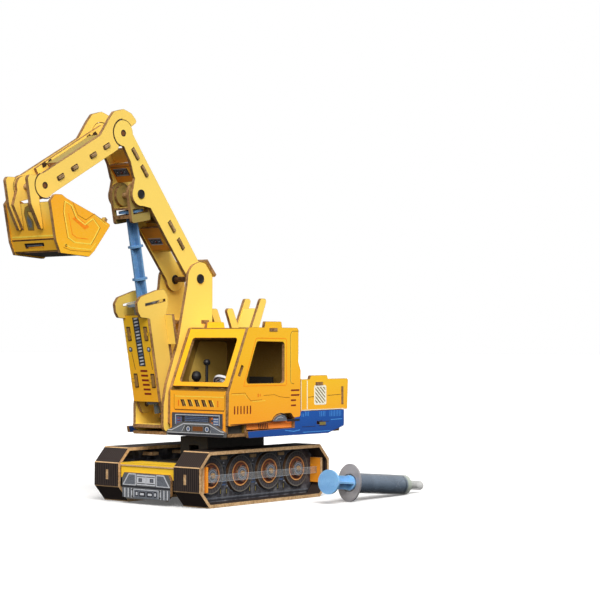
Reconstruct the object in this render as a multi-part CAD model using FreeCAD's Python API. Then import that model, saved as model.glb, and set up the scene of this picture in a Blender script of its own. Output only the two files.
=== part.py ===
import FreeCAD, Part
import os, math
from FreeCAD import Vector as V

# Laser-cut board excavator kit with a syringe-driven arm and its loose control syringe.
# Working frame: +X forward, +Y to the machine's left, +Z up, x = 0 at the middle of the
# tracks, z = 0 on the ground.  At the end everything is shifted so that the origin is the
# bottom centre of the whole box.

# ------------------------------------------------------------------ driving dimensions (mm)
BT = 2.5                  # board thickness
TRK_L = 146.0             # track length
TRK_LT = 124.4            # length of the flat top and bottom runs
TRK_H = 40.0              # track height
TRK_H1 = 11.9             # lower corner height of the end boards
TRK_H2 = 28.6             # upper corner height of the end boards
TRK_W = 25.0              # width of one track
TRK_OUT = 106.5           # width over both tracks
SLEW_X = -10.0            # slew axis behind the middle of the tracks
FLOOR_Z0 = 50.0           # underside of the house floor
CAB_Y1, CAB_Y2 = 2.2, 62.0     # cab between these planes
HOUSE_Y = 62.0            # half width of the house
YT = -14.0                # middle plane of tower, boom, stick and bucket
TOW_OUT, TOW_IN = 15.7, 13.2   # tower plates, half spacings
BM_OUT, BM_IN = 12.7, 10.2     # boom plates, half spacings
PX, PZ = 17.5, 165.5      # boom pivot
BA = (0.615, 0.788)       # along the boom at rest
BN = (0.788, -0.615)      # across the boom, towards its lower front edge
HX, HZ = 95.1, 268.0      # stick pivot at the boom's head
KX, KZ = 169.4, 225.1     # bucket pivot at the stick's head
LX, LZ = 77.2, 225.3      # clevis pin in the boom's lug
CX, CZ = 47.5, 72.0       # lower pivot of the cylinder housing
PIN_R = 2.0               # wooden dowels
RUN = 0.06                # running clearance, radial
BAR_R, BORE_R = 7.5, 6.7  # syringe barrel, outside and inside
BAR_L = 76.0              # barrel length without its nozzle
FL_A, FL_B, FL_T = 14.0, 10.0, 2.0   # oval finger flange half sizes and thickness
DISC_R, DISC_T = 9.0, 1.8 # thumb disc
ARM_OUT = 66.0            # arm plunger: flange to thumb disc at rest
CTL_OUT = 25.0            # control plunger: flange to thumb disc at rest

nodes = {}

def add(name, *shapes):
    solids = []
    for s in shapes:
        if isinstance(s, (list, tuple)):
            for q in s: solids += q.Solids
        else:
            solids += s.Solids
    nodes.setdefault(name, []).extend(solids)

# ------------------------------------------------------------------ helpers
def rounded(pts, r=0.0):
    """Face outline in 2-D with corners rounded; r may be a number or one per corner."""
    n = len(pts); rs = r if isinstance(r, (list, tuple)) else [r] * n
    P = [V(p[0], 0, p[1]) for p in pts]
    edges = []; ends = []
    for i in range(n):
        a, b, c = P[i - 1], P[i], P[(i + 1) % n]
        u = (a - b); w = (c - b); lu, lw = u.Length, w.Length
        u.normalize(); w.normalize()
        ang = u.getAngle(w)
        if rs[i] <= 0 or ang > math.pi - 0.03:
            ends.append((b, b, None)); continue
        d = rs[i] / math.tan(ang / 2.0); d = min(d, 0.46 * lu, 0.46 * lw)
        rr = d * math.tan(ang / 2.0)
        p1 = b + u * d; p2 = b + w * d
        bis = (u + w); bis.normalize()
        cen = b + bis * (rr / math.sin(ang / 2.0))
        mid = cen + (b - cen).normalize() * rr
        ends.append((p1, p2, mid))
    for i in range(n):
        p1, p2, mid = ends[i]
        if mid is not None:
            edges.append(Part.Arc(p1, mid, p2).toShape())
        q = ends[(i + 1) % n][0]
        if (q - p2).Length > 1e-6:
            edges.append(Part.makeLine(p2, q))
    return Part.Face(Part.Wire(edges))

def plate(pts, y0, y1, r=0.0):
    """Board standing in the XZ plane between y0 and y1."""
    f = rounded(pts, r); f.translate(V(0, y0, 0))
    return f.extrude(V(0, y1 - y0, 0))

def box(x0, x1, y0, y1, z0, z1):
    return Part.makeBox(x1 - x0, y1 - y0, z1 - z0, V(x0, y0, z0))

def ycyl(x, z, r, y0, y1):
    return Part.makeCylinder(r, y1 - y0, V(x, y0, z), V(0, 1, 0))

def cut(a, *bs):
    for b in bs: a = a.cut(b)
    return a

def fuse(a, *bs):
    for b in bs: a = a.fuse(b)
    return a.removeSplitter()

def sym(y0, y1, yc=0.0):
    """The same span mirrored about the plane y = yc."""
    return 2 * yc - y1, 2 * yc - y0

def board(p, q, t, y0, y1, side=1):
    """Flat board seen edge-on in XZ from p to q, thickness t to the left (side=1) or right."""
    dx, dz = q[0] - p[0], q[1] - p[1]; L = math.hypot(dx, dz)
    nx, nz = -dz / L * side * t, dx / L * side * t
    return plate([p, q, (q[0] + nx, q[1] + nz), (p[0] + nx, p[1] + nz)], y0, y1)

def bl(a, n):
    """Boom coordinates (along, across) to the working frame."""
    return (PX + a * BA[0] + n * BN[0], PZ + a * BA[1] + n * BN[1])

def inset(pts, d):
    """Inward offset of a convex polygon listed counter-clockwise in XZ."""
    n = len(pts); out = []
    for i in range(n):
        a, b, c = pts[i - 1], pts[i], pts[(i + 1) % n]
        def nrm(p, q):
            L = math.hypot(q[0] - p[0], q[1] - p[1]); return (-(q[1] - p[1]) / L, (q[0] - p[0]) / L)
        n1, n2 = nrm(a, b), nrm(b, c)
        k = 1 + n1[0] * n2[0] + n1[1] * n2[1]
        out.append((b[0] + d * (n1[0] + n2[0]) / k, b[1] + d * (n1[1] + n2[1]) / k))
    return out

# ------------------------------------------------------------------ tracks
OCT = [(TRK_LT / 2 - 0, 0), (TRK_L / 2, TRK_H1), (TRK_L / 2, TRK_H2), (TRK_LT / 2, TRK_H),
       (-TRK_LT / 2, TRK_H), (-TRK_L / 2, TRK_H2), (-TRK_L / 2, TRK_H1), (-TRK_LT / 2, 0)]
OIN = inset(OCT, BT)
WHEEL_X = (50.0, 18.0, -14.0, -46.0)
WHEEL_Z = 22.0
for side, nm in ((1, "left"), (-1, "right")):
    y1 = TRK_OUT / 2; y0 = y1 - TRK_W
    ymid = y1 - 12.4                      # web plate plane, outer face
    Y = lambda a, b: (a, b) if side > 0 else (-b, -a)
    shoes = []
    for i in range(8):
        j = (i + 1) % 8
        q = plate([OCT[i], OCT[j], OIN[j], OIN[i]], *Y(y0, y1))
        mx, mz = (OCT[i][0] + OCT[j][0]) / 2, (OCT[i][1] + OCT[j][1]) / 2
        if i in (1, 5):                   # slots for the web plate's end tabs
            s = 1 if i == 1 else -1
            a, b = Y(ymid - BT, ymid)
            q = q.cut(box(min(s * (TRK_L / 2 + 1), s * (TRK_L / 2 - 4)), max(s * (TRK_L / 2 + 1), s * (TRK_L / 2 - 4)), a, b, mz - 3.6, mz + 3.6))
        shoes.append(q)
    add(nm + "_track_boards", shoes)
    a, b = Y(ymid - BT, ymid)
    web = plate(OIN, a, b)
    zm = (TRK_H1 + TRK_H2) / 2
    web = fuse(web, box(TRK_L / 2 - BT - 1, TRK_L / 2 + 0.3, a, b, zm - 3.6, zm + 3.6), box(-TRK_L / 2 - 0.3, -TRK_L / 2 + BT + 1, a, b, zm - 3.6, zm + 3.6))
    tabs = [(x, 34.0) for x in (34.0, 2.0, -30.0)]
    # spacer-board tabs come through the web between the wheels
    for x, z in tabs: web = web.cut(box(x - 3.5, x + 3.5, a - 1, b + 1, z - BT / 2, z + BT / 2))
    for x in WHEEL_X: web = web.cut(ycyl(x, WHEEL_Z, 2.0, a - 1, b + 1))
    add(nm + "_track_web", web)
    # spacer boards behind the web, between it and the inboard face
    sp = []
    c0, c1 = Y(y0 + 0.0, ymid + 0.6)
    for x, z in tabs: sp.append(box(x - 3.5, x + 3.5, c0, c1, z - BT / 2, z + BT / 2))
    add(nm + "_track_spacers", sp)
    # road wheels: disc boards on the outer face, each with a smaller hub disc and a dowel
    w = []; h = []; ax = []
    for x in WHEEL_X:
        f0, f1 = Y(ymid, ymid + BT); g0, g1 = Y(ymid + BT, ymid + BT + 1.5)
        w.append(cut(ycyl(x, WHEEL_Z, 13.6, f0, f1), ycyl(x, WHEEL_Z, 2.0, f0 - 1, f1 + 1)))
        h.append(cut(ycyl(x, WHEEL_Z, 6.2, g0, g1), ycyl(x, WHEEL_Z, 2.0, g0 - 1, g1 + 1)))
        d0, d1 = Y(y0 + 3.0, ymid + BT + 2.6)
        ax.append(ycyl(x, WHEEL_Z, 2.0, d0, d1))
    add(nm + "_road_wheels", w); add(nm + "_wheel_hubs", h); add("wheel_dowels", ax)
    # cross stubs at both ends of the wheel row, and the clear elastic band stretched between them
    st = []
    for x, s in ((66.4, 1), (-66.4, -1)):
        e0, e1 = Y(ymid, y1 - 2.2)
        st.append(box(x - BT / 2, x + BT / 2, e0, e1, 10.5, 29.5))
    add(nm + "_band_stubs", st)
    e0, e1 = Y(ymid + BT + 3.2, ymid + BT + 3.9)
    band = fuse(box(-70.2, 70.2, e0, e1, 17.6, 22.6))
    add(nm + "_clear_band", band)
# the stubs are notched where the band sits
for nm in ("left", "right"):
    nodes[nm + "_band_stubs"] = [s.cut(nodes[nm + "_clear_band"][0]) for s in nodes[nm + "_band_stubs"]]

# ------------------------------------------------------------------ chassis between the tracks
YI = TRK_OUT / 2 - TRK_W                  # inboard face of the tracks
add("front_deck", box(50.0, 70.5, -YI, YI, 27.0, 27.0 + BT))
add("front_crossbeam", fuse(box(67.4, 70.5 - 0.6, -YI, YI, 18.6, 27.0)))
bp = Part.makePolygon([V(69.9, y, z) for y, z in ((-22.5, 22.6), (22.5, 22.6), (24.6, 19), (24.6, 7.6), (20, 3.6), (-20, 3.6), (-24.6, 7.6), (-24.6, 19), (-22.5, 22.6))])
add("bumper_panel", Part.Face(bp).extrude(V(BT, 0, 0)))
add("rear_deck_plate", box(-70.5, -44.5, -YI, YI, 27.0, 27.0 + BT))
add("rear_crossbeam", box(-70.5 + 0.6, -67.4, -YI, YI, 10.0, 27.0))
NX0, NX1, NY = SLEW_X - 32.0, SLEW_X + 32.0, 13.8     # pedestal under the slew ring
add("chassis_rails", [box(-67.4, 67.4, -NY + 0.0, -NY + BT, 15.0, 27.0), box(-67.4, 67.4, NY - BT, NY, 15.0, 27.0)])
add("chassis_floor", cut(box(-44.5, 50.0, -YI, YI, 27.0, 27.0 + BT)))
add("pedestal_sides", [box(NX0 + BT, NX1 - BT, -NY, -NY + BT, 29.5, 44.7), box(NX0 + BT, NX1 - BT, NY - BT, NY, 29.5, 44.7)])
ends = []
for x in (NX0, NX1 - BT):
    e = box(x, x + BT, -NY, NY, 29.5, 44.7)
    ends.append(e.cut(box(x - 1, x + BT + 1, -5.0, 5.0, 36.5, 41.0)))
add("pedestal_ends", ends)
add("pedestal_top", cut(box(NX0, NX1, -NY, NY, 44.7, 44.7 + BT), Part.makeCylinder(4.0, 10, V(SLEW_X, 0, 40))))
add("slew_ring", cut(Part.makeCylinder(20.0, BT, V(SLEW_X, 0, 47.2)), Part.makeCylinder(4.0, 10, V(SLEW_X, 0, 45))))
add("slew_dowel", Part.makeCylinder(4.0, 58.3 - 44.7, V(SLEW_X, 0, 44.7)))

# ------------------------------------------------------------------ house floor and tower
FZ0, FZ1 = FLOOR_Z0, FLOOR_Z0 + BT
fl = Part.makePolygon([V(x, y, FZ0) for x, y in ((-78, -HOUSE_Y + BT), (6, -HOUSE_Y + BT), (6, YT - TOW_OUT - 0), (56, YT - TOW_OUT - 0), (56, CAB_Y1), (50, CAB_Y1), (50, HOUSE_Y - BT), (-78, HOUSE_Y - BT), (-78, -HOUSE_Y + BT))])
floor = Part.Face(fl).extrude(V(0, 0, BT))
floor = floor.cut(Part.makeCylinder(4.0 + RUN, 20, V(SLEW_X, 0, 40)))
add("house_floor", floor)
add("slew_washer", cut(Part.makeCylinder(11.0, BT, V(SLEW_X, 0, FZ1)), Part.makeCylinder(4.0 + RUN, 20, V(SLEW_X, 0, 40))))

TPTS = [(3.8, FZ1), (56.2, FZ1), (56.2, 72), (53.0, 87.0), (41.0, 118.0), (31.3, 160), (30.2, 169.5), (25.4, 175.5), (17.5, 178.5), (11.5, 177.0), (3.8, 168.0)]
TR = [0, 4, 6, 8, 20, 6, 6, 6, 6, 3, 3]
tw = {}
for nm, (a, b) in (("tower_plate_left", (YT + TOW_IN, YT + TOW_OUT)), ("tower_plate_right", (YT - TOW_OUT, YT - TOW_IN))):
    p = plate(TPTS, a, b, TR)
    p = p.cut(ycyl(PX, PZ, PIN_R, a - 1, b + 1)).cut(ycyl(CX, CZ, PIN_R, a - 1, b + 1))
    # slots that take the tabs of the cross boards
    for x0, x1, z0, z1 in ((8.0, 16.0, 96.0, 98.5), (8.0, 16.0, 132.0, 134.5), (20.0, 28.0, 60.5, 63.0)):
        p = p.cut(box(x0, x1, a - 1, b + 1, z0, z1))
    tw[nm] = p
# a washer hugs the slew dowel under the tower's left plate line
wash = Part.makeCylinder(11.0, BT + 0.01, V(SLEW_X, 0, FZ1))
for nm in tw: add(nm, tw[nm].cut(wash))
xb = []
for x0, x1, z0, z1 in ((8.0, 16.0, 96.0, 98.5), (8.0, 16.0, 132.0, 134.5), (20.0, 28.0, 60.5, 63.0)):
    inner = box(x0 - 3.0, x1 + 3.0, YT - TOW_IN, YT + TOW_IN, z0, z1)
    xb.append(fuse(inner, box(x0, x1, YT - TOW_OUT - 0.4, YT + TOW_OUT + (0.4 if z0 > 131 else 0), z0, z1)))
add("tower_cross_boards", xb)
add("tower_back_board", box(3.8, 3.8 + BT, YT - TOW_IN, YT + TOW_IN, FZ1, 94.0), box(3.8, 3.8 + BT, YT - TOW_IN, YT + TOW_IN, 100.0, 128.0))
capb = board((1.2, 167.4), (11.2, 178.8), BT, YT - TOW_OUT, YT + TOW_OUT, 1)
add("tower_cap_board", capb)
add("deck_plate", cut(box(33.0, 59.0, YT - TOW_IN, YT + TOW_IN, 55.0, 57.5)))
add("boom_pin", ycyl(PX, PZ, PIN_R, YT - TOW_OUT - 0.6, YT + TOW_OUT + 0.6))
# the housing swings on two short dowels, so the barrel passes between them
add("cylinder_pin", ycyl(CX, CZ, PIN_R, YT - TOW_OUT - 0.6, YT - BM_IN - 0.1), ycyl(CX, CZ, PIN_R, YT + BM_IN + 0.1, YT + TOW_OUT + 0.2))

# ------------------------------------------------------------------ cab
sideo = [(52.3, 58.0), (51.6, 82.0), (30.6, 128.8), (-25.6, 128.8), (-25.6, 103.0), (-28.2, 97.0), (-28.2, 62.4), (-20.5, 62.0), (-17.0, 65.6), (-6.0, 65.4), (-3.0, 61.2), (20, 59.6)]
sider = [1, 3, 2.5, 2.5, 3, 3, 2.5, 1, 3, 3, 1, 0]
win = [(34.0, 88.1), (21.4, 118.7), (-9.5, 118.3), (-9.5, 87.9)]
def cabside(y0, y1, slots=True):
    s = plate(sideo, y0, y1, sider)
    s = s.cut(plate(win, y0 - 1, y1 + 1, 2.6))
    tab = plate([(13.6, 127.0), (12.2, 133.2), (-5.8, 133.2), (-7.2, 127.0)], y0, y1, [0, 1.2, 1.2, 0])
    s = fuse(s, tab)
    s = s.cut(box(-1.2, 7.6, y0 - 1, y1 + 1, 128.4 - BT, 128.4))          # roof tab slot
    q = plate([(38.2, 101.8), (42.0, 94.2), (39.8, 93.1), (36.0, 100.7)], y0 - 1, y1 + 1)
    if slots: s = s.cut(q)
    return s
add("cab_side_left", cabside(CAB_Y2 - BT, CAB_Y2))
add("cab_side_right", cabside(CAB_Y1, CAB_Y1 + BT))
# windshield frame, leaning back, between the side plates
YA, YB = CAB_Y1 + BT, CAB_Y2 - BT
ws = board((49.6, 86.0), (30.8, 127.8), BT, CAB_Y1 + BT, CAB_Y2 - BT, 1)
u = (30.8 - 49.6, 127.8 - 86.0); L = math.hypot(*u); u = (u[0] / L, u[1] / L)
def wpt(s, k): return (49.6 + u[0] * s + u[1] * k, 86.0 + u[1] * s - u[0] * k)
wf = [V(wpt(s, 4)[0], y, wpt(s, 4)[1]) for s, y in ((3.4, YA + 5.2), (3.4, YB - 5.2), (38.6, YB - 5.2), (38.6, YA + 5.2))]
hole = Part.Face(Part.makePolygon(wf + [wf[0]])).extrude(V(-u[1] * 10, 0, u[0] * 10))
hole = hole.makeFillet(2.4, [e for e in hole.Edges if abs(e.tangentAt(e.FirstParameter).y) < 0.01 and abs(e.Length - 10) < 0.01])
add("windshield_frame", ws.cut(hole))
fp = box(52.3 - BT, 52.3, YA, YB, 52.5, 83.4)
add("cab_front_panel", fp)
louv = []
for i in range(5):
    y = 18.6 + i * 6.85
    w = Part.Face(Part.makePolygon([V(50, y + 0.1, 71.6), V(50, y + 2.2, 71.6), V(50, y - 0.1, 76.2), V(50, y - 2.2, 76.2), V(50, y + 0.1, 71.6)])).extrude(V(5, 0, 0))
    louv.append(w)
nodes["cab_front_panel"] = [nodes["cab_front_panel"][0].cut(Part.makeCompound(louv))]
nodes["cab_front_panel"] = nodes["cab_front_panel"][0].Solids
gp = Part.makePolygon([V(52.3, y, z) for y, z in ((7.2, 56), (57.0, 56), (57.0, 66.8), (7.2, 66.8), (7.2, 56))])
add("grille_panel", Part.Face(gp).extrude(V(0.8, 0, 0)).cut(Part.Face(Part.makePolygon([V(52.0, y, z) for y, z in ((3, 49.4), (61, 49.4), (61, 53.4), (47, 60.6), (17, 60.6), (3, 53.4), (3, 49.4))])).extrude(V(3, 0, 0))))
bb = Part.makePolygon([V(52.3, y, z) for y, z in ((3.4, 50.2), (60.6, 50.2), (60.6, 53.2), (46.4, 60.2), (17.4, 60.2), (3.4, 53.2), (3.4, 50.2))])
add("cab_bumper", Part.Face(bb).extrude(V(BT, 0, 0)))
rf = box(-25.6 + BT, 30.6 - 1.6, CAB_Y1 + BT, CAB_Y2 - BT, 128.4 - BT, 128.4)
rf = rf.cut(plate([(26, 120), (34.5, 120), (30.8, 127.8), (30.8, 131)], 0, 70))
rt = fuse(rf, box(-1.2, 7.6, CAB_Y1 - 0.3, CAB_Y2 + 0.3, 128.4 - BT, 128.4))
rt = rt.cut(nodes["windshield_frame"][0])
add("cab_roof", rt.Solids[0] if len(rt.Solids) == 1 else max(rt.Solids, key=lambda s: s.Volume))
add("cab_rear_panel", cut(box(-25.6, -25.6 + BT, YA, YB, 62.0, 128.4)))
add("cab_seat", fuse(box(-18, 6, 22, 44, 66.0, 68.5), box(-18, -15.5, 22, 44, 68.5, 92), box(-14, 2, 24, 26.5, FZ1, 66.0), box(-14, 2, 39.5, 42, FZ1, 66.0)))
# dash board with the wheel on its dowel, a stop knob and a lever
DASH = box(30.0, 30.0 + BT, YA, YB, FZ1, 84.0)
sd = V(-0.66, 0, 0.75); sd.normalize()
sp0 = V(30.0, 33.0, 80.0)
add("steering_column", Part.makeCylinder(1.5, 11.5, sp0, sd))
add("dash_board", DASH.cut(nodes["steering_column"][0]))
swp = sp0 + sd * 8.6
sw = Part.makeCylinder(9.4, 2.0, swp, sd).cut(Part.makeCylinder(6.6, 4.0, swp - sd, sd))
spk = []
for k in range(3):
    bxx = Part.makeBox(8.0, 2.4, 2.0, V(0, -1.2, 0)); bxx.rotate(V(0, 0, 0), V(0, 0, 1), 90 + 120 * k)
    spk.append(bxx)
hub = fuse(Part.makeCylinder(3.2, 2.0), *spk)
rotm = FreeCAD.Rotation(V(0, 0, 1), sd)
hub.Placement = FreeCAD.Placement(swp, rotm)
sw = fuse(sw, hub).cut(Part.makeCylinder(1.5 + RUN, 6, swp - sd * 2, sd))
add("steering_wheel", sw)
add("cab_lever", Part.makeCylinder(1.1, 17.0, V(31.2, 21.5, 84.0)), )
add("lever_knob", fuse(Part.makeSphere(2.6, V(31.2, 21.5, 103.0)).cut(box(20, 40, 10, 30, 95, 101.0))))

# ------------------------------------------------------------------ rear of the house
blue = [(31.4, 53.6), (30.2, 48.9), (-60.8, 48.9), (-80.6, 53.9), (-80.6, 66.4), (-28.2, 66.4), (-24.0, 66.4), (-21.4, 61.6), (-21.4, 54.4)]
bluer = [0.5, 0.5, 3, 2, 1, 0, 3, 1, 0.5]
yel = [(-28.6, 66.6), (-84.6, 66.6), (-85.6, 90.2), (-28.6, 90.2)]
def rearset(y0, y1, ylip):
    b = plate(blue, y0, y1, bluer)
    b = b.cut(box(-54.6, -47.4, y0 - 1, y1 + 1, 56.0, 58.5))
    y = plate(yel, y0, y1, [0, 1, 2, 0])
    tab = plate([(-38.6, 89.0), (-40.2, 93.0), (-59.6, 93.0), (-61.2, 89.0)], y0, y1, [0, 1, 1, 0])
    y = fuse(y, tab).cut(box(-54.6, -46.0, y0 - 1, y1 + 1, 85.4, 85.4 + BT))
    y = y.cut(box(-79.5, -79.5 + BT, y0 - 1, y1 + 1, 70.5, 84.0))
    return b, y
b1, y1_ = rearset(HOUSE_Y - BT, HOUSE_Y, 0); add("base_side_left", b1.cut(nodes["cab_side_left"][0])); add("rear_side_left", y1_)
b2, y2_ = rearset(-HOUSE_Y, -HOUSE_Y + BT, 0); add("base_side_right", b2); add("rear_side_right", y2_)
sk = box(-20.8, 30.0, HOUSE_Y - BT - 2.5, HOUSE_Y - BT, 54.6, 60.0)
add("sill_strips", sk)
YH = HOUSE_Y - BT
deck = box(-84.0, -25.6 - 2.8, -YH, YH, 85.4, 85.4 + BT)
deck = fuse(deck, box(-54.6, -46.0, -HOUSE_Y - 0.3, HOUSE_Y + 0.3, 85.4, 85.4 + BT))
deck = deck.cut(box(-90, -82.2, -80, 80, 80, 90))
add("rear_deck", deck)
cw = box(-79.5, -79.5 + BT, -YH, YH, FZ1, 85.4)
cw = fuse(cw, box(-79.5, -79.5 + BT, -HOUSE_Y - 0.3, HOUSE_Y + 0.3, 70.5, 84.0))
for i in range(5): cw = cw.cut(box(-81, -75, -30 + i * 13, -22 + i * 13, 64.0, 67.5))
add("counterweight_board", cw)
# right-hand body beside the tower
add("right_front_board", box(3.5, 3.5 + BT, -YH, YT - TOW_OUT - 0.4, FZ1, 88.0))
add("right_side_board", plate([(-28.2, 66.8), (6.0, 66.8), (6.0, 86.0), (2.0, 90.2), (-28.2, 90.2)], -HOUSE_Y, -HOUSE_Y + BT, [0, 1, 2, 2, 0]))
add("right_top_board", box(-28.3, 3.4, -YH, YT - TOW_OUT - 0.4, 85.4, 85.4 + BT))
# V-shaped cradle behind the cab: two forked boards and a sloping cross board
vpts = [(-47.0, 87.9), (-47.0, 108.0), (-65.6, 152.4), (-58.0, 152.4), (-46.0, 127.0), (-42.0, 123.5), (-38.0, 123.5), (-33.0, 127.5), (-25.2, 144.0), (-17.6, 144.0), (-33.0, 108.0), (-33.0, 87.9)]
for k, y in enumerate((-20.0, -3.6)):
    add("cradle_forks", plate(vpts, y - BT, y, [0, 4, 2.5, 2.5, 3, 2, 2, 3, 2.5, 2.5, 4, 0]))
add("cradle_board", board((-41.0, 118.6), (-47.0, 118.6), BT, -20.0, -6.1, 1), board((-50.4, 128.4), (-57.6, 143.6), BT, -20.0, -6.1, -1))

# ------------------------------------------------------------------ boom
ha = (HX - PX) * BA[0] + (HZ - PZ) * BA[1]; hn = (HX - PX) * BN[0] + (HZ - PZ) * BN[1]
la = (LX - PX) * BA[0] + (LZ - PZ) * BA[1]; ln = (LX - PX) * BN[0] + (LZ - PZ) * BN[1]
HEAD_R = 9.4
body = [bl(0, -9.2), bl(0, 7.6), bl(40, 8.3), bl(98, 8.3), bl(108, 4.6), bl(ha, hn + 4.6), bl(ha, hn - 7.6), bl(104, -9.2)]
def boomplate(y0, y1):
    p = plate(body, y0, y1, [0, 0, 0, 6, 6, 0, 0, 8])
    p = fuse(p, ycyl(PX, PZ, 9.0, y0, y1), ycyl(HX, HZ, HEAD_R, y0, y1), ycyl(LX, LZ, 8.6, y0, y1),
             plate([bl(la - 14, 7.8), bl(la + 13, 7.8), bl(la + 7.4, ln + 4.2), bl(la - 7.4, ln + 4.2)], y0, y1))
    p = p.cut(ycyl(PX, PZ, PIN_R + RUN, y0 - 1, y1 + 1)).cut(ycyl(HX, HZ, PIN_R, y0 - 1, y1 + 1)).cut(ycyl(LX, LZ, PIN_R, y0 - 1, y1 + 1))
    for a, n in ((110.2, -2.8), (95.2, -2.9), (46.8, -1.6), (31.1, -1.6)):
        p = p.cut(plate([bl(a - 3.6, n - 1.25), bl(a + 3.6, n - 1.25), bl(a + 3.6, n + 1.25), bl(a - 3.6, n + 1.25)], y0 - 1, y1 + 1))
    return p
add("boom_plate_left", boomplate(YT + BM_IN, YT + BM_OUT))
add("boom_plate_right", boomplate(YT - BM_OUT, YT - BM_IN))
cb = []
for a, n in ((110.2, -2.8), (95.2, -2.9), (46.8, -1.6), (31.1, -1.6)):
    w = 3.6
    t = plate([bl(a - w, n - 1.25), bl(a + w, n - 1.25), bl(a + w, n + 1.25), bl(a - w, n + 1.25)], YT - BM_OUT, YT + BM_OUT)
    w = 5.4
    t2 = plate([bl(a - w, n - 1.25), bl(a + w, n - 1.25), bl(a + w, n + 1.25), bl(a - w, n + 1.25)], YT - BM_IN, YT + BM_IN)
    cb.append(fuse(t, t2))
add("boom_cross_boards", cb)
# front braces between the boom plates, near their lower front edge
def brace(a0, a1):
    return plate([bl(a0, 4.4), bl(a1, 4.4), bl(a1, 4.4 + BT), bl(a0, 4.4 + BT)], YT - BM_IN, YT + BM_IN)
add("boom_brace_upper", plate([bl(92.0, 2.6), bl(107.0, 2.6), bl(107.0, 2.6 + BT), bl(92.0, 2.6 + BT)], YT - BM_IN, YT + BM_IN))
add("boom_brace_lower", brace(32.0, 52.0))
add("boom_back_board", plate([bl(26.0, -8.4), bl(72.0, -8.4), bl(72.0, -8.4 + BT), bl(26.0, -8.4 + BT)], YT - BM_IN, YT + BM_IN))
add("clevis_pin", ycyl(LX, LZ, PIN_R, YT - BM_OUT - 0.4, YT + BM_OUT + 0.4))
add("stick_pin", ycyl(HX, HZ, PIN_R, YT - BM_OUT - 0.0, YT + BM_OUT + 0.0))

# ------------------------------------------------------------------ stick
SA = ((KX - HX), (KZ - HZ)); SL = math.hypot(*SA); SA = (SA[0] / SL, SA[1] / SL)
SN = (-SA[1], SA[0])                       # upward normal of the stick
def sl(a, n): return (HX + a * SA[0] + n * SN[0], HZ + a * SA[1] + n * SN[1])
KR = 8.6
SO_IN, SO_OUT = 9.9, BM_OUT
outline = [sl(-17.0, 2.6), sl(-15.2, -6.4), sl(-8.6, -11.2), sl(0, -8.0)]
def polar(cx, cz, r, deg): return (cx + r * math.cos(math.radians(deg)), cz + r * math.sin(math.radians(deg)))
hook = [polar(HX, HZ, 16.8, 146), polar(HX, HZ, 17.0, 118), polar(HX, HZ, 17.4, 90), polar(HX, HZ, 17.4, 58), polar(HX, HZ, 16.6, 32), sl(21.5, 8.0),
        sl(SL, 8.0), sl(SL, -8.0), sl(12.0, -8.0), polar(HX, HZ, 13.0, -66), polar(HX, HZ, 9.0, -66), (HX, HZ), polar(HX, HZ, 9.0, 146)]
SOCK = HEAD_R + 0.35
def stickouter(y0, y1):
    p = plate(hook, y0, y1, [2, 3, 3, 3, 2, 6, 0, 0, 3, 1, 0, 0, 0])
    p = fuse(p, ycyl(KX, KZ, KR, y0, y1))
    p = p.cut(ycyl(HX, HZ, SOCK, y0 - 1, y1 + 1)).cut(ycyl(KX, KZ, PIN_R, y0 - 1, y1 + 1))
    for a in (19.7, 34.7, 55.0, 70.0):
        p = p.cut(plate([sl(a - 3.6, -2.5), sl(a + 3.6, -2.5), sl(a + 3.6, 0.0), sl(a - 3.6, 0.0)], y0 - 1, y1 + 1))
    p = max(p.Solids, key=lambda s: s.Volume)
    return p
add("stick_outer_left", stickouter(YT + SO_IN, YT + SO_OUT))
add("stick_outer_right", stickouter(YT - SO_OUT, YT - SO_IN))
def stickinner(y0, y1):
    p = plate([sl(0, 7.6), sl(0, -7.6), sl(SL - 15.0, -7.2), sl(SL - 15.0, 7.2)], y0, y1)
    p = fuse(p, ycyl(HX, HZ, 7.6, y0, y1))
    p = p.cut(ycyl(HX, HZ, PIN_R + RUN, y0 - 1, y1 + 1))
    for a in (19.7, 34.7, 55.0, 70.0):
        if a < SL - 16: p = p.cut(plate([sl(a - 3.6, -2.5), sl(a + 3.6, -2.5), sl(a + 3.6, 0.0), sl(a - 3.6, 0.0)], y0 - 1, y1 + 1))
    return p
SI_IN, SI_OUT = 7.4, 9.9
def splitat(y0, y1):
    return stickinner(y0, y1)
cut70 = plate([sl(66.4, -2.5), sl(73.6, -2.5), sl(73.6, 0.0), sl(66.4, 0.0)], -60, 60)
add("stick_inner_plates", splitat(YT + SI_IN, YT + SI_OUT).cut(cut70), splitat(YT - SI_OUT, YT - SI_IN).cut(cut70))
scb = []
for a in (19.7, 34.7, 55.0, 70.0):
    t = plate([sl(a - 3.6, -2.5), sl(a + 3.6, -2.5), sl(a + 3.6, 0.0), sl(a - 3.6, 0.0)], YT - SO_OUT, YT + SO_OUT)
    scb.append(t)
add("stick_cross_boards", scb)
def sboard(a0, a1, n0, n1): return plate([sl(a0, n0), sl(a1, n0), sl(a1, n1), sl(a0, n1)], YT - SI_IN, YT + SI_IN)
add("stick_top_boards", sboard(14.0, 60.0, 3.4, 5.9))
add("stick_bottom_boards", sboard(11.5, 40.0, -7.4, -4.9), sboard(49.0, 70.0, -7.4, -4.9))
add("bucket_pin", ycyl(KX, KZ, PIN_R, YT - BM_OUT, YT + BM_OUT))

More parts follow.
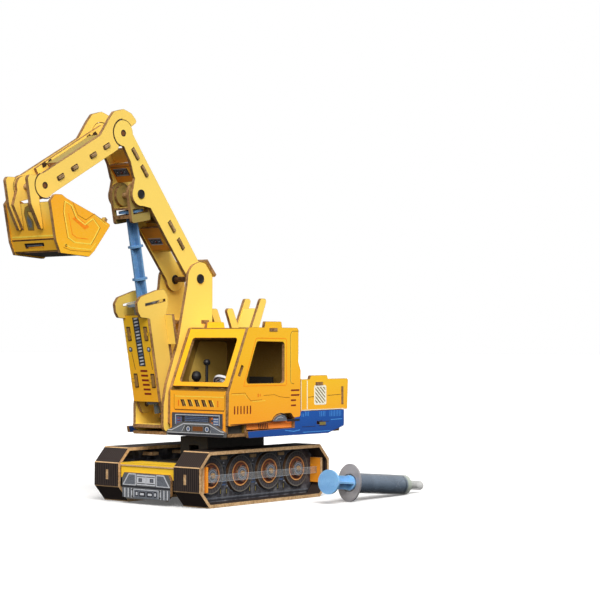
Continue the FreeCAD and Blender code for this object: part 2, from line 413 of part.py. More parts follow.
# ------------------------------------------------------------------ bucket
BW = 24.5
B_TOPB, B_FOLD, B_BOT = (174.9, 213.6), (169.6, 187.2), (165.6, 178.6)
B_B2, B_B3, B_TIP = (139.2, 177.0), (134.2, 181.2), (118.8, 200.2)
sidep = [B_BOT, B_FOLD, B_TOPB, (171.0, 218.4), (164.6, 218.6), (160.9, 216.4), (134.4, 206.9), B_TIP, B_B3, B_B2]
for nm, (a, b) in (("bucket_side_left", (YT + BW - BT, YT + BW)), ("bucket_side_right", (YT - BW, YT - BW + BT))):
    add(nm, plate(sidep, a, b, [0.6, 0, 1.2, 3, 3, 2, 0, 1.2, 1, 1]))
bi0, bi1 = YT - BW + BT, YT + BW - BT
def ins(p, q, t): return board(p, q, t, bi0, bi1, 1)
back = board((169.0, 188.2), (173.9, 213.2), BT, bi0, bi1, 1)
lowback = board((166.2, 180.6), (168.9, 187.7), BT, bi0, bi1, 1)
zz = 184.0
lowback = lowback.cut(box(150, 175, YT - 9.5, YT + 9.5, 182.6, 185.6))
add("bucket_back", back, lowback)
add("bucket_floor", board((165.2, 179.6), (139.8, 178.1), BT, bi0, bi1, -1).cut(lowback))
lip = board((134.9, 182.0), (119.8, 200.4), BT, bi0, bi1, -1)
lip2 = board((138.8, 178.6), (135.3, 181.5), BT, bi0, bi1, -1)
add("bucket_heel", lip2.cut(nodes["bucket_floor"][0]))
tdir = ((B_TIP[0] - B_B3[0]), (B_TIP[1] - B_B3[1])); tl = math.hypot(*tdir); tdir = (tdir[0] / tl, tdir[1] / tl)
tn = (-tdir[1], tdir[0])
teeth = []
for k in range(5):
    yc = bi0 + (bi1 - bi0) * (k + 0.5) / 5
    p0 = (119.8, 200.4)
    q0 = (p0[0], p0[1])
    base = V(p0[0], yc, p0[1]); uu = V(tdir[0], 0, tdir[1]); nn = V(tdir[1], 0, -tdir[0])
    f = Part.Face(Part.makePolygon([base + V(0, -3.0, 0), base + V(0, 3.0, 0), base + V(0, 1.6, 0) + uu * 5.0, base + V(0, -1.6, 0) + uu * 5.0, base + V(0, -3.0, 0)]))
    teeth.append(f.extrude(nn * BT))
lipf = fuse(lip, *teeth).cut(nodes["bucket_heel"][0])
add("bucket_lip", lipf)
# ears: outer forks flush with the stick's outer plates, inner ears on the pin
earo = [(170.0, 190.0), (181.8, 211.6), (185.0, 229.0), (183.4, 231.4), (177.4, 231.6), (KX, KZ), (160.6, 223.5), (160.4, 219.4), (174.3, 213.4)]
def earout(y0, y1):
    p = plate(earo, y0, y1, [1, 4, 2, 1, 1, 0, 1, 1, 0])
    p = p.cut(ycyl(KX, KZ, KR + 0.35, y0 - 1, y1 + 1)).cut(plate([(169.0, 188.2), (174.7, 217.2), (150, 217.2), (150, 188)], y0 - 1, y1 + 1))
    return max(p.Solids, key=lambda s: s.Volume)
add("bucket_forks", earout(YT + SO_IN, YT + SO_OUT), earout(YT - SO_OUT, YT - SO_IN))
def earin(y0, y1):
    p = fuse(ycyl(KX, KZ, 8.0, y0, y1), plate([(162.6, 221.0), (176.9, 222.4), (180.2, 212.0), (171.0, 195.4), (174.5, 214.6), (166.8, 216.6)], y0, y1))
    p = p.cut(board((168.95, 187.9), (174.4, 215.8), BT + 8, y0 - 1, y1 + 1, 1).common(box(150, 180, -60, 60, 180, 214.4)))
    p = p.cut(ycyl(KX, KZ, PIN_R + RUN, y0 - 1, y1 + 1))
    return max(p.Solids, key=lambda s: s.Volume)
add("bucket_ears", earin(YT + SI_IN - 0.2, YT + SI_OUT), earin(YT - SI_OUT, YT - SI_IN + 0.2))

# ------------------------------------------------------------------ syringes
def syringe_barrel(nozzle=9.0):
    """Axis +Z, flange's far face (plunger side) at z = 0, barrel towards -Z."""
    tube = Part.makeCylinder(BAR_R, BAR_L, V(0, 0, -BAR_L))
    tube = fuse(tube, Part.makeCone(3.0, BAR_R, 2.0, V(0, 0, -BAR_L - 2.0)), Part.makeCylinder(2.6, nozzle, V(0, 0, -BAR_L - 2.0 - nozzle)))
    fl = Part.Face(Part.Wire([Part.Ellipse(V(0, 0, 0), FL_A, FL_B).toShape()])).extrude(V(0, 0, -FL_T))
    b = fuse(tube, fl)
    b = b.cut(Part.makeCylinder(BORE_R, BAR_L - 1.5, V(0, 0, -BAR_L + 1.5 + 0.0)).fuse(Part.makeCylinder(BORE_R, 2, V(0, 0, -1))))
    b = b.cut(Part.makeCylinder(1.1, nozzle + 8, V(0, 0, -BAR_L - 3.0 - nozzle)))
    return b

STEM_L = 74.0             # from the thumb disc to the seal's near face
def syringe_plunger():
    """Thumb disc's outer face at z = 0; stem towards -Z with four ribs and cross discs."""
    d = Part.makeCylinder(DISC_R, DISC_T, V(0, 0, -DISC_T))
    r1 = Part.makeBox(10.0, 1.5, STEM_L, V(-5.0, -0.75, -DISC_T - STEM_L)); r2 = Part.makeBox(1.5, 10.0, STEM_L, V(-0.75, -5.0, -DISC_T - STEM_L))
    s = fuse(d, r1, r2)
    for z in (26.0, 50.0, STEM_L - 1.0):
        s = fuse(s, Part.makeCylinder(5.6, 1.6, V(0, 0, -DISC_T - z)))
    s = fuse(s, Part.makeCylinder(2.4, 3.2, V(0, 0, -DISC_T - STEM_L - 3.2)))
    return s

def syringe_seal():
    s = Part.makeCylinder(BORE_R - 0.05, 7.0, V(0, 0, -DISC_T - STEM_L - 7.0))
    s = s.cut(Part.makeCylinder(2.4, 3.2, V(0, 0, -DISC_T - STEM_L - 3.2)))
    g = Part.makeCylinder(BORE_R + 1, 2.2, V(0, 0, -DISC_T - STEM_L - 4.6)).cut(Part.makeCylinder(BORE_R - 0.9, 2.2, V(0, 0, -DISC_T - STEM_L - 4.6)))
    return s.cut(g)

def place(shape, origin, zdir, xdir):
    z = V(*zdir); z.normalize(); x = V(*xdir); y = z.cross(x); y.normalize(); x = y.cross(z)
    m = FreeCAD.Matrix(x.x, y.x, z.x, origin[0], x.y, y.y, z.y, origin[1], x.z, y.z, z.z, origin[2], 0, 0, 0, 1)
    s = shape.copy(); s.transformShape(m, True)
    return s

# ------------------------------------------------------------------ arm cylinder
CU = ((LX - CX), (LZ - CZ)); CL = math.hypot(*CU); CU = (CU[0] / CL, CU[1] / CL)
CN = (CU[1], -CU[0])                      # towards the front of the housing
def cl(a, n): return (CX + a * CU[0] + n * CN[0], CZ + a * CU[1] + n * CN[1])
A_DISC = CL - 11.0                         # outer face of the thumb disc
A_FL = A_DISC - DISC_T - ARM_OUT           # flange face
AO = cl(A_FL, 0)
add("arm_barrel", place(syringe_barrel(6.0), (AO[0], YT, AO[1]), (CU[0], 0, CU[1]), (CN[0], 0, CN[1])))
AD = cl(A_DISC, 0)
add("arm_plunger", place(syringe_plunger(), (AD[0], YT, AD[1]), (CU[0], 0, CU[1]), (CN[0], 0, CN[1])))
add("arm_seal", place(syringe_seal(), (AD[0], YT, AD[1]), (CU[0], 0, CU[1]), (CN[0], 0, CN[1])))
FN0, FN1 = BAR_R + 0.2, BAR_R + 0.2 + BT   # front plate between these distances from the axis
FB, FT = 4.0, A_FL - 8.6                   # housing's front plate from a = FB to FT
def hplate(y0, y1):
    pts = [cl(-6.5, -5.0), cl(-6.5, 5.5), cl(2.0, FN0), cl(FT - 3, FN0), cl(FT - 0.5, FN1 + 6.6), cl(A_FL - 4.8, FN1 + 8.4), cl(A_FL + 1.6, FN1 + 8.4), cl(A_FL + 5.6, FN1 + 4.0), cl(A_FL + 7.6, -3.0),
           cl(A_FL + 7.0, -11.0), cl(A_FL + 1.5, -13.6), cl(A_FL - 5.6, -12.6), cl(FT - 1.0, -FN1), cl(FT - 8, -FN0), cl(2.0, -FN0)]
    p = plate(pts, y0, y1, [4, 4, 3, 2, 2, 3, 3, 3, 6, 3, 3, 2, 2, 1, 4])
    p = p.cut(ycyl(CX, CZ, PIN_R + RUN, y0 - 1, y1 + 1))
    # long slot that takes the barrel's finger flange
    p = p.cut(plate([cl(A_FL - FL_T - 0.0, -10.6), cl(A_FL - FL_T, 10.6), cl(A_FL, 10.6), cl(A_FL, -10.6)], y0 - 1, y1 + 1))
    for a in (FB + 18.0, FT - 12.0):      # tab slots of the inner boards
        p = p.cut(plate([cl(a - 3.4, 2.6), cl(a + 3.4, 2.6), cl(a + 3.4, 5.1), cl(a - 3.4, 5.1)], y0 - 1, y1 + 1).common(box(-500, 500, -500, 500, -500, -400)))
    return p
add("housing_side_left", hplate(YT + BM_IN, YT + BM_OUT))
add("housing_side_right", hplate(YT - BM_OUT, YT - BM_IN))
hf = plate([cl(FB, FN0), cl(FT, FN0), cl(FT, FN1), cl(FB, FN1)], YT - BM_OUT, YT + BM_OUT)
hf = cut(hf, *(nodes["housing_side_left"] + nodes["housing_side_right"]))
add("housing_front_plate", hf)
hr = plate([cl(FB + 2, -FN1), cl(FT - 3, -FN1), cl(FT - 3, -FN0), cl(FB + 2, -FN0)], YT - BM_OUT, YT + BM_OUT)
hr = fuse(hr, plate([cl(FT - 25, -FN1), cl(FT - 3, -FN1), cl(FT - 3, -FN0), cl(FT - 25, -FN0)], YT - BM_OUT - 7.5, YT + BM_OUT + 7.5))
hr = cut(hr, *(nodes["housing_side_left"] + nodes["housing_side_right"]))
add("housing_rear_plate", hr)
# tab ends of four inner blocks, showing on the front plate
hb = []
for a in (FB + 16.0, FT - 14.0):
    for s in (-1, 1):
        hb.append(plate([cl(a - 1.3, FN1), cl(a + 1.3, FN1), cl(a + 1.3, FN1 + 0.5), cl(a - 1.3, FN1 + 0.5)], YT + s * 9.0 - 2.6, YT + s * 9.0 + 2.6))
add("housing_tabs", hb)
# barrel saddles inside the housing: boards with a round cut, across the axis
sad = []
for a in (FB + 12.0, FT - 18.0):
    s_ = plate([cl(a - BT / 2, -FN0), cl(a + BT / 2, -FN0), cl(a + BT / 2, FN0), cl(a - BT / 2, FN0)], YT - BM_IN, YT + BM_IN)
    bore = Part.makeCylinder(BAR_R, 200, V(cl(-100, 0)[0], YT, cl(-100, 0)[1]), V(CU[0], 0, CU[1]))
    sad += s_.cut(bore).Solids
add("barrel_saddles", sad)

# ------------------------------------------------------------------ clevis on the boom's lug
def cv(s, n): return (LX - s * CU[0] + n * CN[0], LZ - s * CU[1] + n * CN[1])   # s below the pin
SLOT0, SLOT1 = 11.0 - 1.1, 11.0 + DISC_T + 1.1
def clevside(y0, y1):
    p = fuse(ycyl(LX, LZ, 9.6, y0, y1), plate([cv(0, -9.6), cv(0, 9.6), cv(20.0, 9.6), cv(20.0, -9.6)], y0, y1, [0, 0, 2, 2]))
    p = p.cut(ycyl(LX, LZ, PIN_R + RUN, y0 - 1, y1 + 1))
    p = p.cut(plate([cv(SLOT0, -7.4), cv(SLOT0, 7.4), cv(SLOT1, 7.4), cv(SLOT1, -7.4)], y0 - 1, y1 + 1))
    return p
add("clevis_sides", clevside(YT + 7.3, YT + 9.8), clevside(YT - 9.8, YT - 7.3))
def cdisc(y0, y1): return ycyl(LX, LZ, 7.8, y0, y1).cut(ycyl(LX, LZ, PIN_R + RUN, y0 - 1, y1 + 1))
add("clevis_discs", cdisc(YT + 4.8, YT + 7.3), cdisc(YT - 7.3, YT - 4.8))
top = plate([cv(SLOT0 - 1.6, -9.6), cv(SLOT0 - 1.6, 9.6), cv(SLOT0, 9.6), cv(SLOT0, -9.6)], YT - 7.3, YT + 7.3)
bot = plate([cv(SLOT1, -9.6), cv(SLOT1, 9.6), cv(SLOT1 + BT, 9.6), cv(SLOT1 + BT, -9.6)], YT - 7.3, YT + 7.3)
notch = plate([cv(SLOT1 - 1, -30), cv(SLOT1 - 1, 6.6), cv(SLOT1 + BT + 1, 6.6), cv(SLOT1 + BT + 1, -30)], YT - 6.4, YT + 6.4)
add("clevis_boards", top.cut(ycyl(LX, LZ, 7.9, -60, 60)), bot.cut(notch))

# ------------------------------------------------------------------ control syringe on the ground
FXc, FYc = -42.0, 97.0                     # flange centre on the ground plan
EXc, EYc = -124.0, 91.5                    # barrel end
ZF, ZE = 14.1, 8.6                         # axis heights: flange's long end and barrel's end both touch down
cd = V(FXc - EXc, FYc - EYc, ZF - ZE); cd.normalize()
fo = V(FXc, FYc, FL_A * math.sqrt(1 - cd.z ** 2) + FL_T * cd.z + 0.0)
# tilt so that the barrel's end rests on the ground
for _ in range(30):
    en = fo - cd * BAR_L
    low = en.z - BAR_R * math.sqrt(max(0.0, 1 - cd.z ** 2))
    cd.z += low / BAR_L; cd.normalize()
    fo.z = FL_A * math.sqrt(1 - cd.z ** 2) + FL_T * cd.z
upx = V(0, 0, 1)
add("control_barrel", place(syringe_barrel(9.0), (fo.x, fo.y, fo.z), (cd.x, cd.y, cd.z), (0, 0, 1)))
do = fo + cd * (CTL_OUT + DISC_T)
add("control_plunger", place(syringe_plunger(), (do.x, do.y, do.z), (cd.x, cd.y, cd.z), (0, 0, 1)))
add("control_seal", place(syringe_seal(), (do.x, do.y, do.z), (cd.x, cd.y, cd.z), (0, 0, 1)))
# short clear sleeve pushed on the nozzle, cut off square
HOSE_END = BAR_L + 23.4    # cut end, along the syringe's axis from the flange
TIP = BAR_L + 11.0         # end of the nozzle; the sleeve is stretched from there to the barrel
tube = Part.makeCylinder(3.6, 19.0, V(0, 0, -HOSE_END))
tube = tube.cut(Part.makeCylinder(2.4, HOSE_END - TIP + 2.0, V(0, 0, -HOSE_END - 1.0))).cut(Part.makeCylinder(2.6, 9.0, V(0, 0, -TIP)))
tube = place(tube, (fo.x, fo.y, fo.z), (cd.x, cd.y, cd.z), (0, 0, 1))
add("hose_stub", tube)

# ------------------------------------------------------------------ shift to the bottom centre and write
allc = Part.makeCompound([s for v in nodes.values() for s in v])
bbx = allc.optimalBoundingBox(True, False)
SH = V(-(bbx.XMin + bbx.XMax) / 2, -(bbx.YMin + bbx.YMax) / 2, -bbx.ZMin)
os.makedirs("parts", exist_ok=True)
# boards of one kind share a file, as separate solids
GROUP = {
    "left_track_web": "track_webs", "right_track_web": "track_webs", "left_track_spacers": "track_webs", "right_track_spacers": "track_webs",
    "left_road_wheels": "road_wheels", "right_road_wheels": "road_wheels", "left_wheel_hubs": "road_wheels", "right_wheel_hubs": "road_wheels",
    "left_band_stubs": "band_stubs", "right_band_stubs": "band_stubs", "left_clear_band": "clear_bands", "right_clear_band": "clear_bands",
    "front_deck": "chassis_decks", "rear_deck_plate": "chassis_decks", "chassis_floor": "chassis_decks",
    "front_crossbeam": "chassis_beams", "rear_crossbeam": "chassis_beams", "chassis_rails": "chassis_beams",
    "pedestal_sides": "pedestal_boards", "pedestal_ends": "pedestal_boards", "pedestal_top": "pedestal_boards",
    "slew_ring": "slew_pivot", "slew_dowel": "slew_pivot",
    "tower_plate_left": "tower_plates", "tower_plate_right": "tower_plates", "tower_back_board": "tower_cross_boards", "deck_plate": "tower_cross_boards",
    "boom_pin": "house_pins", "cylinder_pin": "house_pins",
    "cab_side_left": "cab_sides", "cab_side_right": "cab_sides", "steering_column": "dash_board",
    "grille_panel": "grille_and_bumper", "cab_bumper": "grille_and_bumper", "lever_knob": "cab_lever",
    "base_side_left": "base_sides", "base_side_right": "base_sides", "sill_strips": "base_sides",
    "rear_side_left": "rear_sides", "rear_side_right": "rear_sides", "right_side_board": "rear_sides",
    "rear_deck": "rear_boards", "counterweight_board": "rear_boards", "right_top_board": "rear_boards", "right_front_board": "rear_boards",
    "cradle_forks": "cradle", "cradle_board": "cradle",
    "boom_plate_left": "boom_plates", "boom_plate_right": "boom_plates", "boom_brace_upper": "boom_braces", "boom_brace_lower": "boom_braces",
    "boom_back_board": "boom_cross_boards", "clevis_pin": "boom_pins", "stick_pin": "boom_pins",
    "stick_outer_left": "stick_outer_plates", "stick_outer_right": "stick_outer_plates", "stick_top_boards": "stick_cross_boards",
    "bucket_side_left": "bucket_sides", "bucket_side_right": "bucket_sides", "bucket_heel": "bucket_floor", "bucket_lip": "bucket_floor",
    "housing_side_left": "housing_sides", "housing_side_right": "housing_sides", "housing_tabs": "housing_front_plate",
    "clevis_sides": "clevis_cheeks", "clevis_discs": "clevis_cheeks",
}
out = {}
for n, sol in nodes.items(): out.setdefault(GROUP.get(n, n), []).extend(sol)
for n, sol in out.items():
    for q in sol: q.translate(SH)
    sh = sol[0] if len(sol) == 1 else Part.makeCompound(sol)
    sh.exportStep("parts/%s.step" % n)
    if not sh.isValid(): print("invalid", n)
print("nodes", len(out), "size", round(bbx.XLength, 2), round(bbx.YLength, 2), round(bbx.ZLength, 2))
print("shift", SH.x, SH.y, SH.z)
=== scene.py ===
import math

import bmesh
import bpy
import numpy as np
from mathutils import Matrix, Vector


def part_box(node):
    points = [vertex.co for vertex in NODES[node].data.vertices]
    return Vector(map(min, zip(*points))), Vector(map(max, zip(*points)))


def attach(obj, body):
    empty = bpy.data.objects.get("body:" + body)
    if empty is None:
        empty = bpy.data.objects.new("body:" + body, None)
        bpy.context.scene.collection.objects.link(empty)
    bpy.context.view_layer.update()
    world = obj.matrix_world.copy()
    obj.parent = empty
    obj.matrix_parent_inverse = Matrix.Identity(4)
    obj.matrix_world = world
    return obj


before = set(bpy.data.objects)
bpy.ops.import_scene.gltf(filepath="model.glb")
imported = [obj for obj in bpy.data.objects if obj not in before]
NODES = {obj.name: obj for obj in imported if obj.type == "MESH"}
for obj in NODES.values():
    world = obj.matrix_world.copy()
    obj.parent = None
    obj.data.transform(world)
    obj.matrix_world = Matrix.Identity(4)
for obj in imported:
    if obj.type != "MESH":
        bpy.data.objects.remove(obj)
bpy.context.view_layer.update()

scene = bpy.context.scene

# ---------------------------------------------------------------- places
# The working origin is the middle of the two tracks on the ground; +X forward, +Y left, +Z up.
_la, _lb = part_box("left_track_boards")
_ra, _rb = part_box("right_track_boards")
SX, SY = (_la.x + _lb.x) / 2, (_ra.y + _lb.y) / 2


def P(x, y, z):
    """A point given in millimetres from the middle of the tracks."""
    return Vector((SX + x / 1000, SY + y / 1000, z / 1000))


X, Y, Z = Vector((1, 0, 0)), Vector((0, 1, 0)), Vector((0, 0, 1))


def lin(c):
    c = c / 255
    return c / 12.92 if c <= 0.04045 else ((c + 0.055) / 1.055) ** 2.4


def rgb(r, g, b, a=1.0):
    return (lin(r), lin(g), lin(b), a)


# ---------------------------------------------------------------- camera, light, floor
cam_data = bpy.data.cameras.new("camera")
cam = bpy.data.objects.new("camera", cam_data)
scene.collection.objects.link(cam)
cam_right = Vector((-0.63912, 0.76911, 0.00127)).normalized()
cam_back = Vector((0.76885, 0.63895, -0.02480)).normalized()
cam_up = cam_back.cross(cam_right).normalized()
cam_right = cam_up.cross(cam_back).normalized()
cam.matrix_world = Matrix.Translation(P(945.42, 870.41, 118.20)) @ Matrix((
    (cam_right.x, cam_up.x, cam_back.x, 0), (cam_right.y, cam_up.y, cam_back.y, 0), (cam_right.z, cam_up.z, cam_back.z, 0), (0, 0, 0, 1)))
cam_data.sensor_width = 36.0
cam_data.lens = 101.445
cam_data.clip_start, cam_data.clip_end = 0.05, 60
scene.camera = cam

scene.view_settings.view_transform = "Standard"
scene.view_settings.look = "None"

world = bpy.data.worlds.new("studio")
scene.world = world
world.use_nodes = True
wbg = world.node_tree.nodes["Background"]
wbg.inputs["Color"].default_value = (1.0, 1.0, 1.0, 1)
wbg.inputs["Strength"].default_value = 0.42
backdrop = world.node_tree.nodes.new("ShaderNodeBackground")
backdrop.inputs["Color"].default_value = (1.0, 1.0, 1.0, 1)
backdrop.inputs["Strength"].default_value = 1.0
chooser = world.node_tree.nodes.new("ShaderNodeMixShader")
rays = world.node_tree.nodes.new("ShaderNodeLightPath")
way = world.node_tree.nodes.new("ShaderNodeTexCoord")
split = world.node_tree.nodes.new("ShaderNodeSeparateXYZ")
slope = world.node_tree.nodes.new("ShaderNodeMapRange")
for i_, v_ in enumerate((-0.25, 0.35, 0.06, 0.56)):
    slope.inputs[i_ + 1].default_value = v_
world.node_tree.links.new(way.outputs["Generated"], split.inputs[0])
world.node_tree.links.new(split.outputs[2], slope.inputs[0])
world.node_tree.links.new(slope.outputs[0], wbg.inputs["Strength"])
world.node_tree.links.new(rays.outputs["Is Camera Ray"], chooser.inputs[0])
world.node_tree.links.new(wbg.outputs[0], chooser.inputs[1])
world.node_tree.links.new(backdrop.outputs[0], chooser.inputs[2])
world.node_tree.links.new(chooser.outputs[0], world.node_tree.nodes["World Output"].inputs["Surface"])


def area(name, loc, look, size, power, colour=(1, 1, 1)):
    d = bpy.data.lights.new(name, "AREA")
    d.shape = "RECTANGLE"
    d.size, d.size_y = size
    d.energy = power
    d.color = colour
    o = bpy.data.objects.new(name, d)
    scene.collection.objects.link(o)
    o.location = loc
    o.rotation_mode = "QUATERNION"
    o.rotation_quaternion = (Vector(loc) - Vector(look)).to_track_quat("Z", "Y")
    return o


def sun(name, frm, strength, angle, colour=(1, 1, 1)):
    d = bpy.data.lights.new(name, "SUN")
    d.energy = strength
    d.angle = math.radians(angle)
    d.color = colour
    o = bpy.data.objects.new(name, d)
    scene.collection.objects.link(o)
    o.rotation_mode = "QUATERNION"
    o.rotation_quaternion = Vector(frm).to_track_quat("Z", "Y")
    return o


sun("key_soft", (0.50, 0.66, 0.80), 2.75, 32, (1.0, 0.985, 0.955))
sun("front_soft", (1.0, 0.35, 0.42), 0.85, 50)
area("rim_softbox", P(-500, 500, 900), P(0, 0, 120), (0.6, 0.6), 2.5)



# ---------------------------------------------------------------- node helpers
class Mat:
    """A small builder for procedural node materials."""

    def __init__(self, name):
        self.m = bpy.data.materials.new(name)
        self.m.use_nodes = True
        self.nt = self.m.node_tree
        self.bsdf = self.nt.nodes["Principled BSDF"]
        self._co = None

    def node(self, kind, **props):
        n = self.nt.nodes.new(kind)
        for k, v in props.items():
            setattr(n, k, v)
        return n

    def link(self, a, b):
        self.nt.links.new(a, b)

    def put(self, node, key, value):
        s = node.inputs[key]
        if isinstance(value, bpy.types.NodeSocket):
            self.link(value, s)
        else:
            s.default_value = value

    def co(self):
        if self._co is None:
            self._co = self.node("ShaderNodeTexCoord").outputs["Object"]
        return self._co

    def math(self, op, a, b=0.0, c=None, clamp=False):
        n = self.node("ShaderNodeMath", operation=op, use_clamp=clamp)
        self.put(n, 0, a)
        self.put(n, 1, b)
        if c is not None:
            self.put(n, 2, c)
        return n.outputs[0]

    def noise(self, scale, stretch=(1, 1, 1), detail=2.0, rough=0.5, offset=(0, 0, 0)):
        mp = self.node("ShaderNodeMapping")
        self.link(self.co(), mp.inputs["Vector"])
        mp.inputs["Scale"].default_value = stretch
        mp.inputs["Location"].default_value = offset
        n = self.node("ShaderNodeTexNoise")
        n.inputs["Scale"].default_value = scale
        n.inputs["Detail"].default_value = detail
        n.inputs["Roughness"].default_value = rough
        self.link(mp.outputs[0], n.inputs["Vector"])
        return n.outputs["Fac"]

    def remap(self, v, a, b, c, d):
        n = self.node("ShaderNodeMapRange")
        self.put(n, 0, v)
        for i, x in enumerate((a, b, c, d)):
            n.inputs[i + 1].default_value = x
        return n.outputs[0]

    def mix(self, fac, a, b, blend="MIX"):
        n = self.node("ShaderNodeMix", data_type="RGBA", blend_type=blend)
        self.put(n, 0, fac)
        for key, value in (("A", a), ("B", b)):
            s = [i for i in n.inputs if i.name == key and i.type == "RGBA"][0]
            if isinstance(value, bpy.types.NodeSocket):
                self.link(value, s)
            else:
                s.default_value = value
        return [o for o in n.outputs if o.type == "RGBA"][0]

    def ramp(self, v, stops, mode="LINEAR"):
        n = self.node("ShaderNodeValToRGB")
        n.color_ramp.interpolation = mode
        el = n.color_ramp.elements
        while len(el) > 1:
            el.remove(el[-1])
        el[0].position, el[0].color = stops[0]
        for pos, col in stops[1:]:
            e = el.new(pos)
            e.color = col
        self.put(n, 0, v)
        return n.outputs[0]

    def xyz(self):
        s = self.node("ShaderNodeSeparateXYZ")
        self.link(self.co(), s.inputs[0])
        return s.outputs

    def edge_mask(self, radius, lo=0.995, hi=0.9):
        """1 close to a sharp edge of the piece, 0 on open faces."""
        bv = self.node("ShaderNodeBevel", samples=6)
        bv.inputs["Radius"].default_value = radius
        ge = self.node("ShaderNodeNewGeometry")
        dt = self.node("ShaderNodeVectorMath", operation="DOT_PRODUCT")
        self.link(bv.outputs[0], dt.inputs[0])
        self.link(ge.outputs["Normal"], dt.inputs[1])
        return self.remap(dt.outputs["Value"], lo, hi, 0.0, 1.0)

    def bump(self, height, strength, distance):
        n = self.node("ShaderNodeBump")
        n.inputs["Strength"].default_value = strength
        n.inputs["Distance"].default_value = distance
        self.put(n, "Height", height)
        self.link(n.outputs[0], self.bsdf.inputs["Normal"])

    def colour(self, c):
        self.put(self.bsdf, "Base Color", c)

    def set(self, **kw):
        for k, v in kw.items():
            self.put(self.bsdf, k.replace("_", " "), v)
        return self


BURN = rgb(92, 62, 34)


def board_print(name, top, low=None, z=(0, 0), grain=(1, 1, 7), seed=0.0, outline=0.75, speck=0.05, rough=(0.42, 0.6), tint=None):
    """Printed face of a laser-cut board: print colour with a faint wood grain under it, a scorched outline along every cut, a satin skin."""
    m = Mat(name)
    col = top
    if low is not None:
        zz = m.xyz()[2]
        g = m.remap(zz, z[0] / 1000, z[1] / 1000, 0.0, 1.0)
        col = m.mix(g, low, top)
    grain_n = m.noise(230, grain, 4.0, 0.6, (seed, seed * 2, 0))
    broad = m.noise(24, (1, 1, 1), 2.0, 0.5, (seed, 0, seed))
    fine = m.noise(1500, (1, 1, 1), 1.0, 0.5)
    dark = tuple(v * 0.80 for v in top[:3]) + (1,)
    f = m.math("MULTIPLY", m.remap(grain_n, 0.35, 0.75, 0.0, 1.0), 0.16)
    col = m.mix(f, col, dark)
    f2 = m.math("MULTIPLY", m.remap(broad, 0.35, 0.7, 0.0, 1.0), 0.10)
    col = m.mix(f2, col, tint or dark)
    f3 = m.math("MULTIPLY", m.remap(fine, 0.3, 0.7, 0.0, 1.0), speck)
    col = m.mix(f3, col, (0.9, 0.85, 0.6, 1))
    e = m.math("MULTIPLY", m.edge_mask(0.00055), outline)
    col = m.mix(e, col, BURN)
    m.colour(col)
    m.put(m.bsdf, "Roughness", m.remap(grain_n, 0.3, 0.7, rough[0], rough[1]))
    m.set(Specular_IOR_Level=0.35)
    h = m.math("ADD", m.math("MULTIPLY", grain_n, 0.7), m.math("MULTIPLY", fine, 0.3))
    m.bump(h, 0.35, 0.00012)
    return m.m


def board_edge(name, light, dark, scale=520):
    """Bare laser-cut edge: light core streaked with char across the cut."""
    m = Mat(name)
    a = m.noise(scale, (1, 1, 1), 3.0, 0.7)
    b = m.noise(70, (1, 1, 1), 2.0, 0.5, (3, 1, 2))
    v = m.math("ADD", m.math("MULTIPLY", a, 0.65), m.math("MULTIPLY", b, 0.35))
    col = m.ramp(v, [(0.34, dark), (0.56, light), (0.72, tuple(min(1, c * 1.15) for c in light[:3]) + (1,))])
    e = m.math("MULTIPLY", m.edge_mask(0.0004), 0.45)
    col = m.mix(e, col, rgb(70, 46, 28))
    m.colour(col)
    m.put(m.bsdf, "Roughness", m.remap(a, 0.3, 0.7, 0.65, 0.85))
    m.set(Specular_IOR_Level=0.2)
    m.bump(a, 0.5, 0.00015)
    return m.m


def ink(name, c, rough=0.5, vary=0.12):
    """Flat printed ink over wood grain."""
    m = Mat(name)
    n1 = m.noise(600, (1, 1, 4), 3.0, 0.6)
    n2 = m.noise(1800, (1, 1, 1), 1.0, 0.5)
    d = tuple(v * (1 - 2 * vary) for v in c[:3]) + (1,)
    li = tuple(min(1.0, v * (1 + vary) + 0.004) for v in c[:3]) + (1,)
    m.colour(m.ramp(n1, [(0.3, d), (0.5, c), (0.75, li)]))
    m.put(m.bsdf, "Roughness", m.remap(n2, 0.3, 0.7, rough - 0.08, rough + 0.12))
    m.set(Specular_IOR_Level=0.35)
    m.bump(n2, 0.25, 0.00008)
    return m.m


# ---------------------------------------------------------------- board materials
E_BODY = board_edge("cut_edge_brown", rgb(168, 128, 84), rgb(96, 66, 40))
E_TRACK = board_edge("cut_edge_light", rgb(206, 170, 126), rgb(150, 112, 74))
E_DARK = board_edge("cut_edge_dark", rgb(112, 84, 60), rgb(58, 42, 30))

pale = rgb(255, 217, 96)
M_PALE = board_print("print_pale_yellow", pale, seed=1.0)
M_PALE_X = board_print("print_pale_yellow_boom", rgb(255, 219, 100), grain=(7, 1, 7), seed=2.0)
M_STICK = board_print("print_pale_yellow_stick", rgb(255, 215, 98), grain=(2, 1, 7), seed=3.0)
# painted shade: the pale yellow print darkened to olive for boards that sit in shade (clevis boards, barrel saddles,
# bucket floor pieces, far cab window), darker still towards the bottom
M_PALE_SHADED = board_print("print_pale_olive", rgb(214, 180, 84), rgb(196, 160, 70), (200, 240), seed=4.0)
M_HSIDE = board_print("print_housing_side", rgb(244, 206, 92), rgb(226, 186, 84), (70, 150), seed=4.5)
M_CAB = board_print("print_cab", rgb(255, 192, 10), rgb(255, 160, 14), (58, 108), seed=5.0, tint=rgb(255, 200, 40))
# painted shade: dark brown standing in for the shade inside the cab, on the inner faces of the cab sides, the dash and
# the rear panel
M_CAB_INNER_SHADE = board_print("print_cab_inner", rgb(134, 100, 22), seed=5.5)
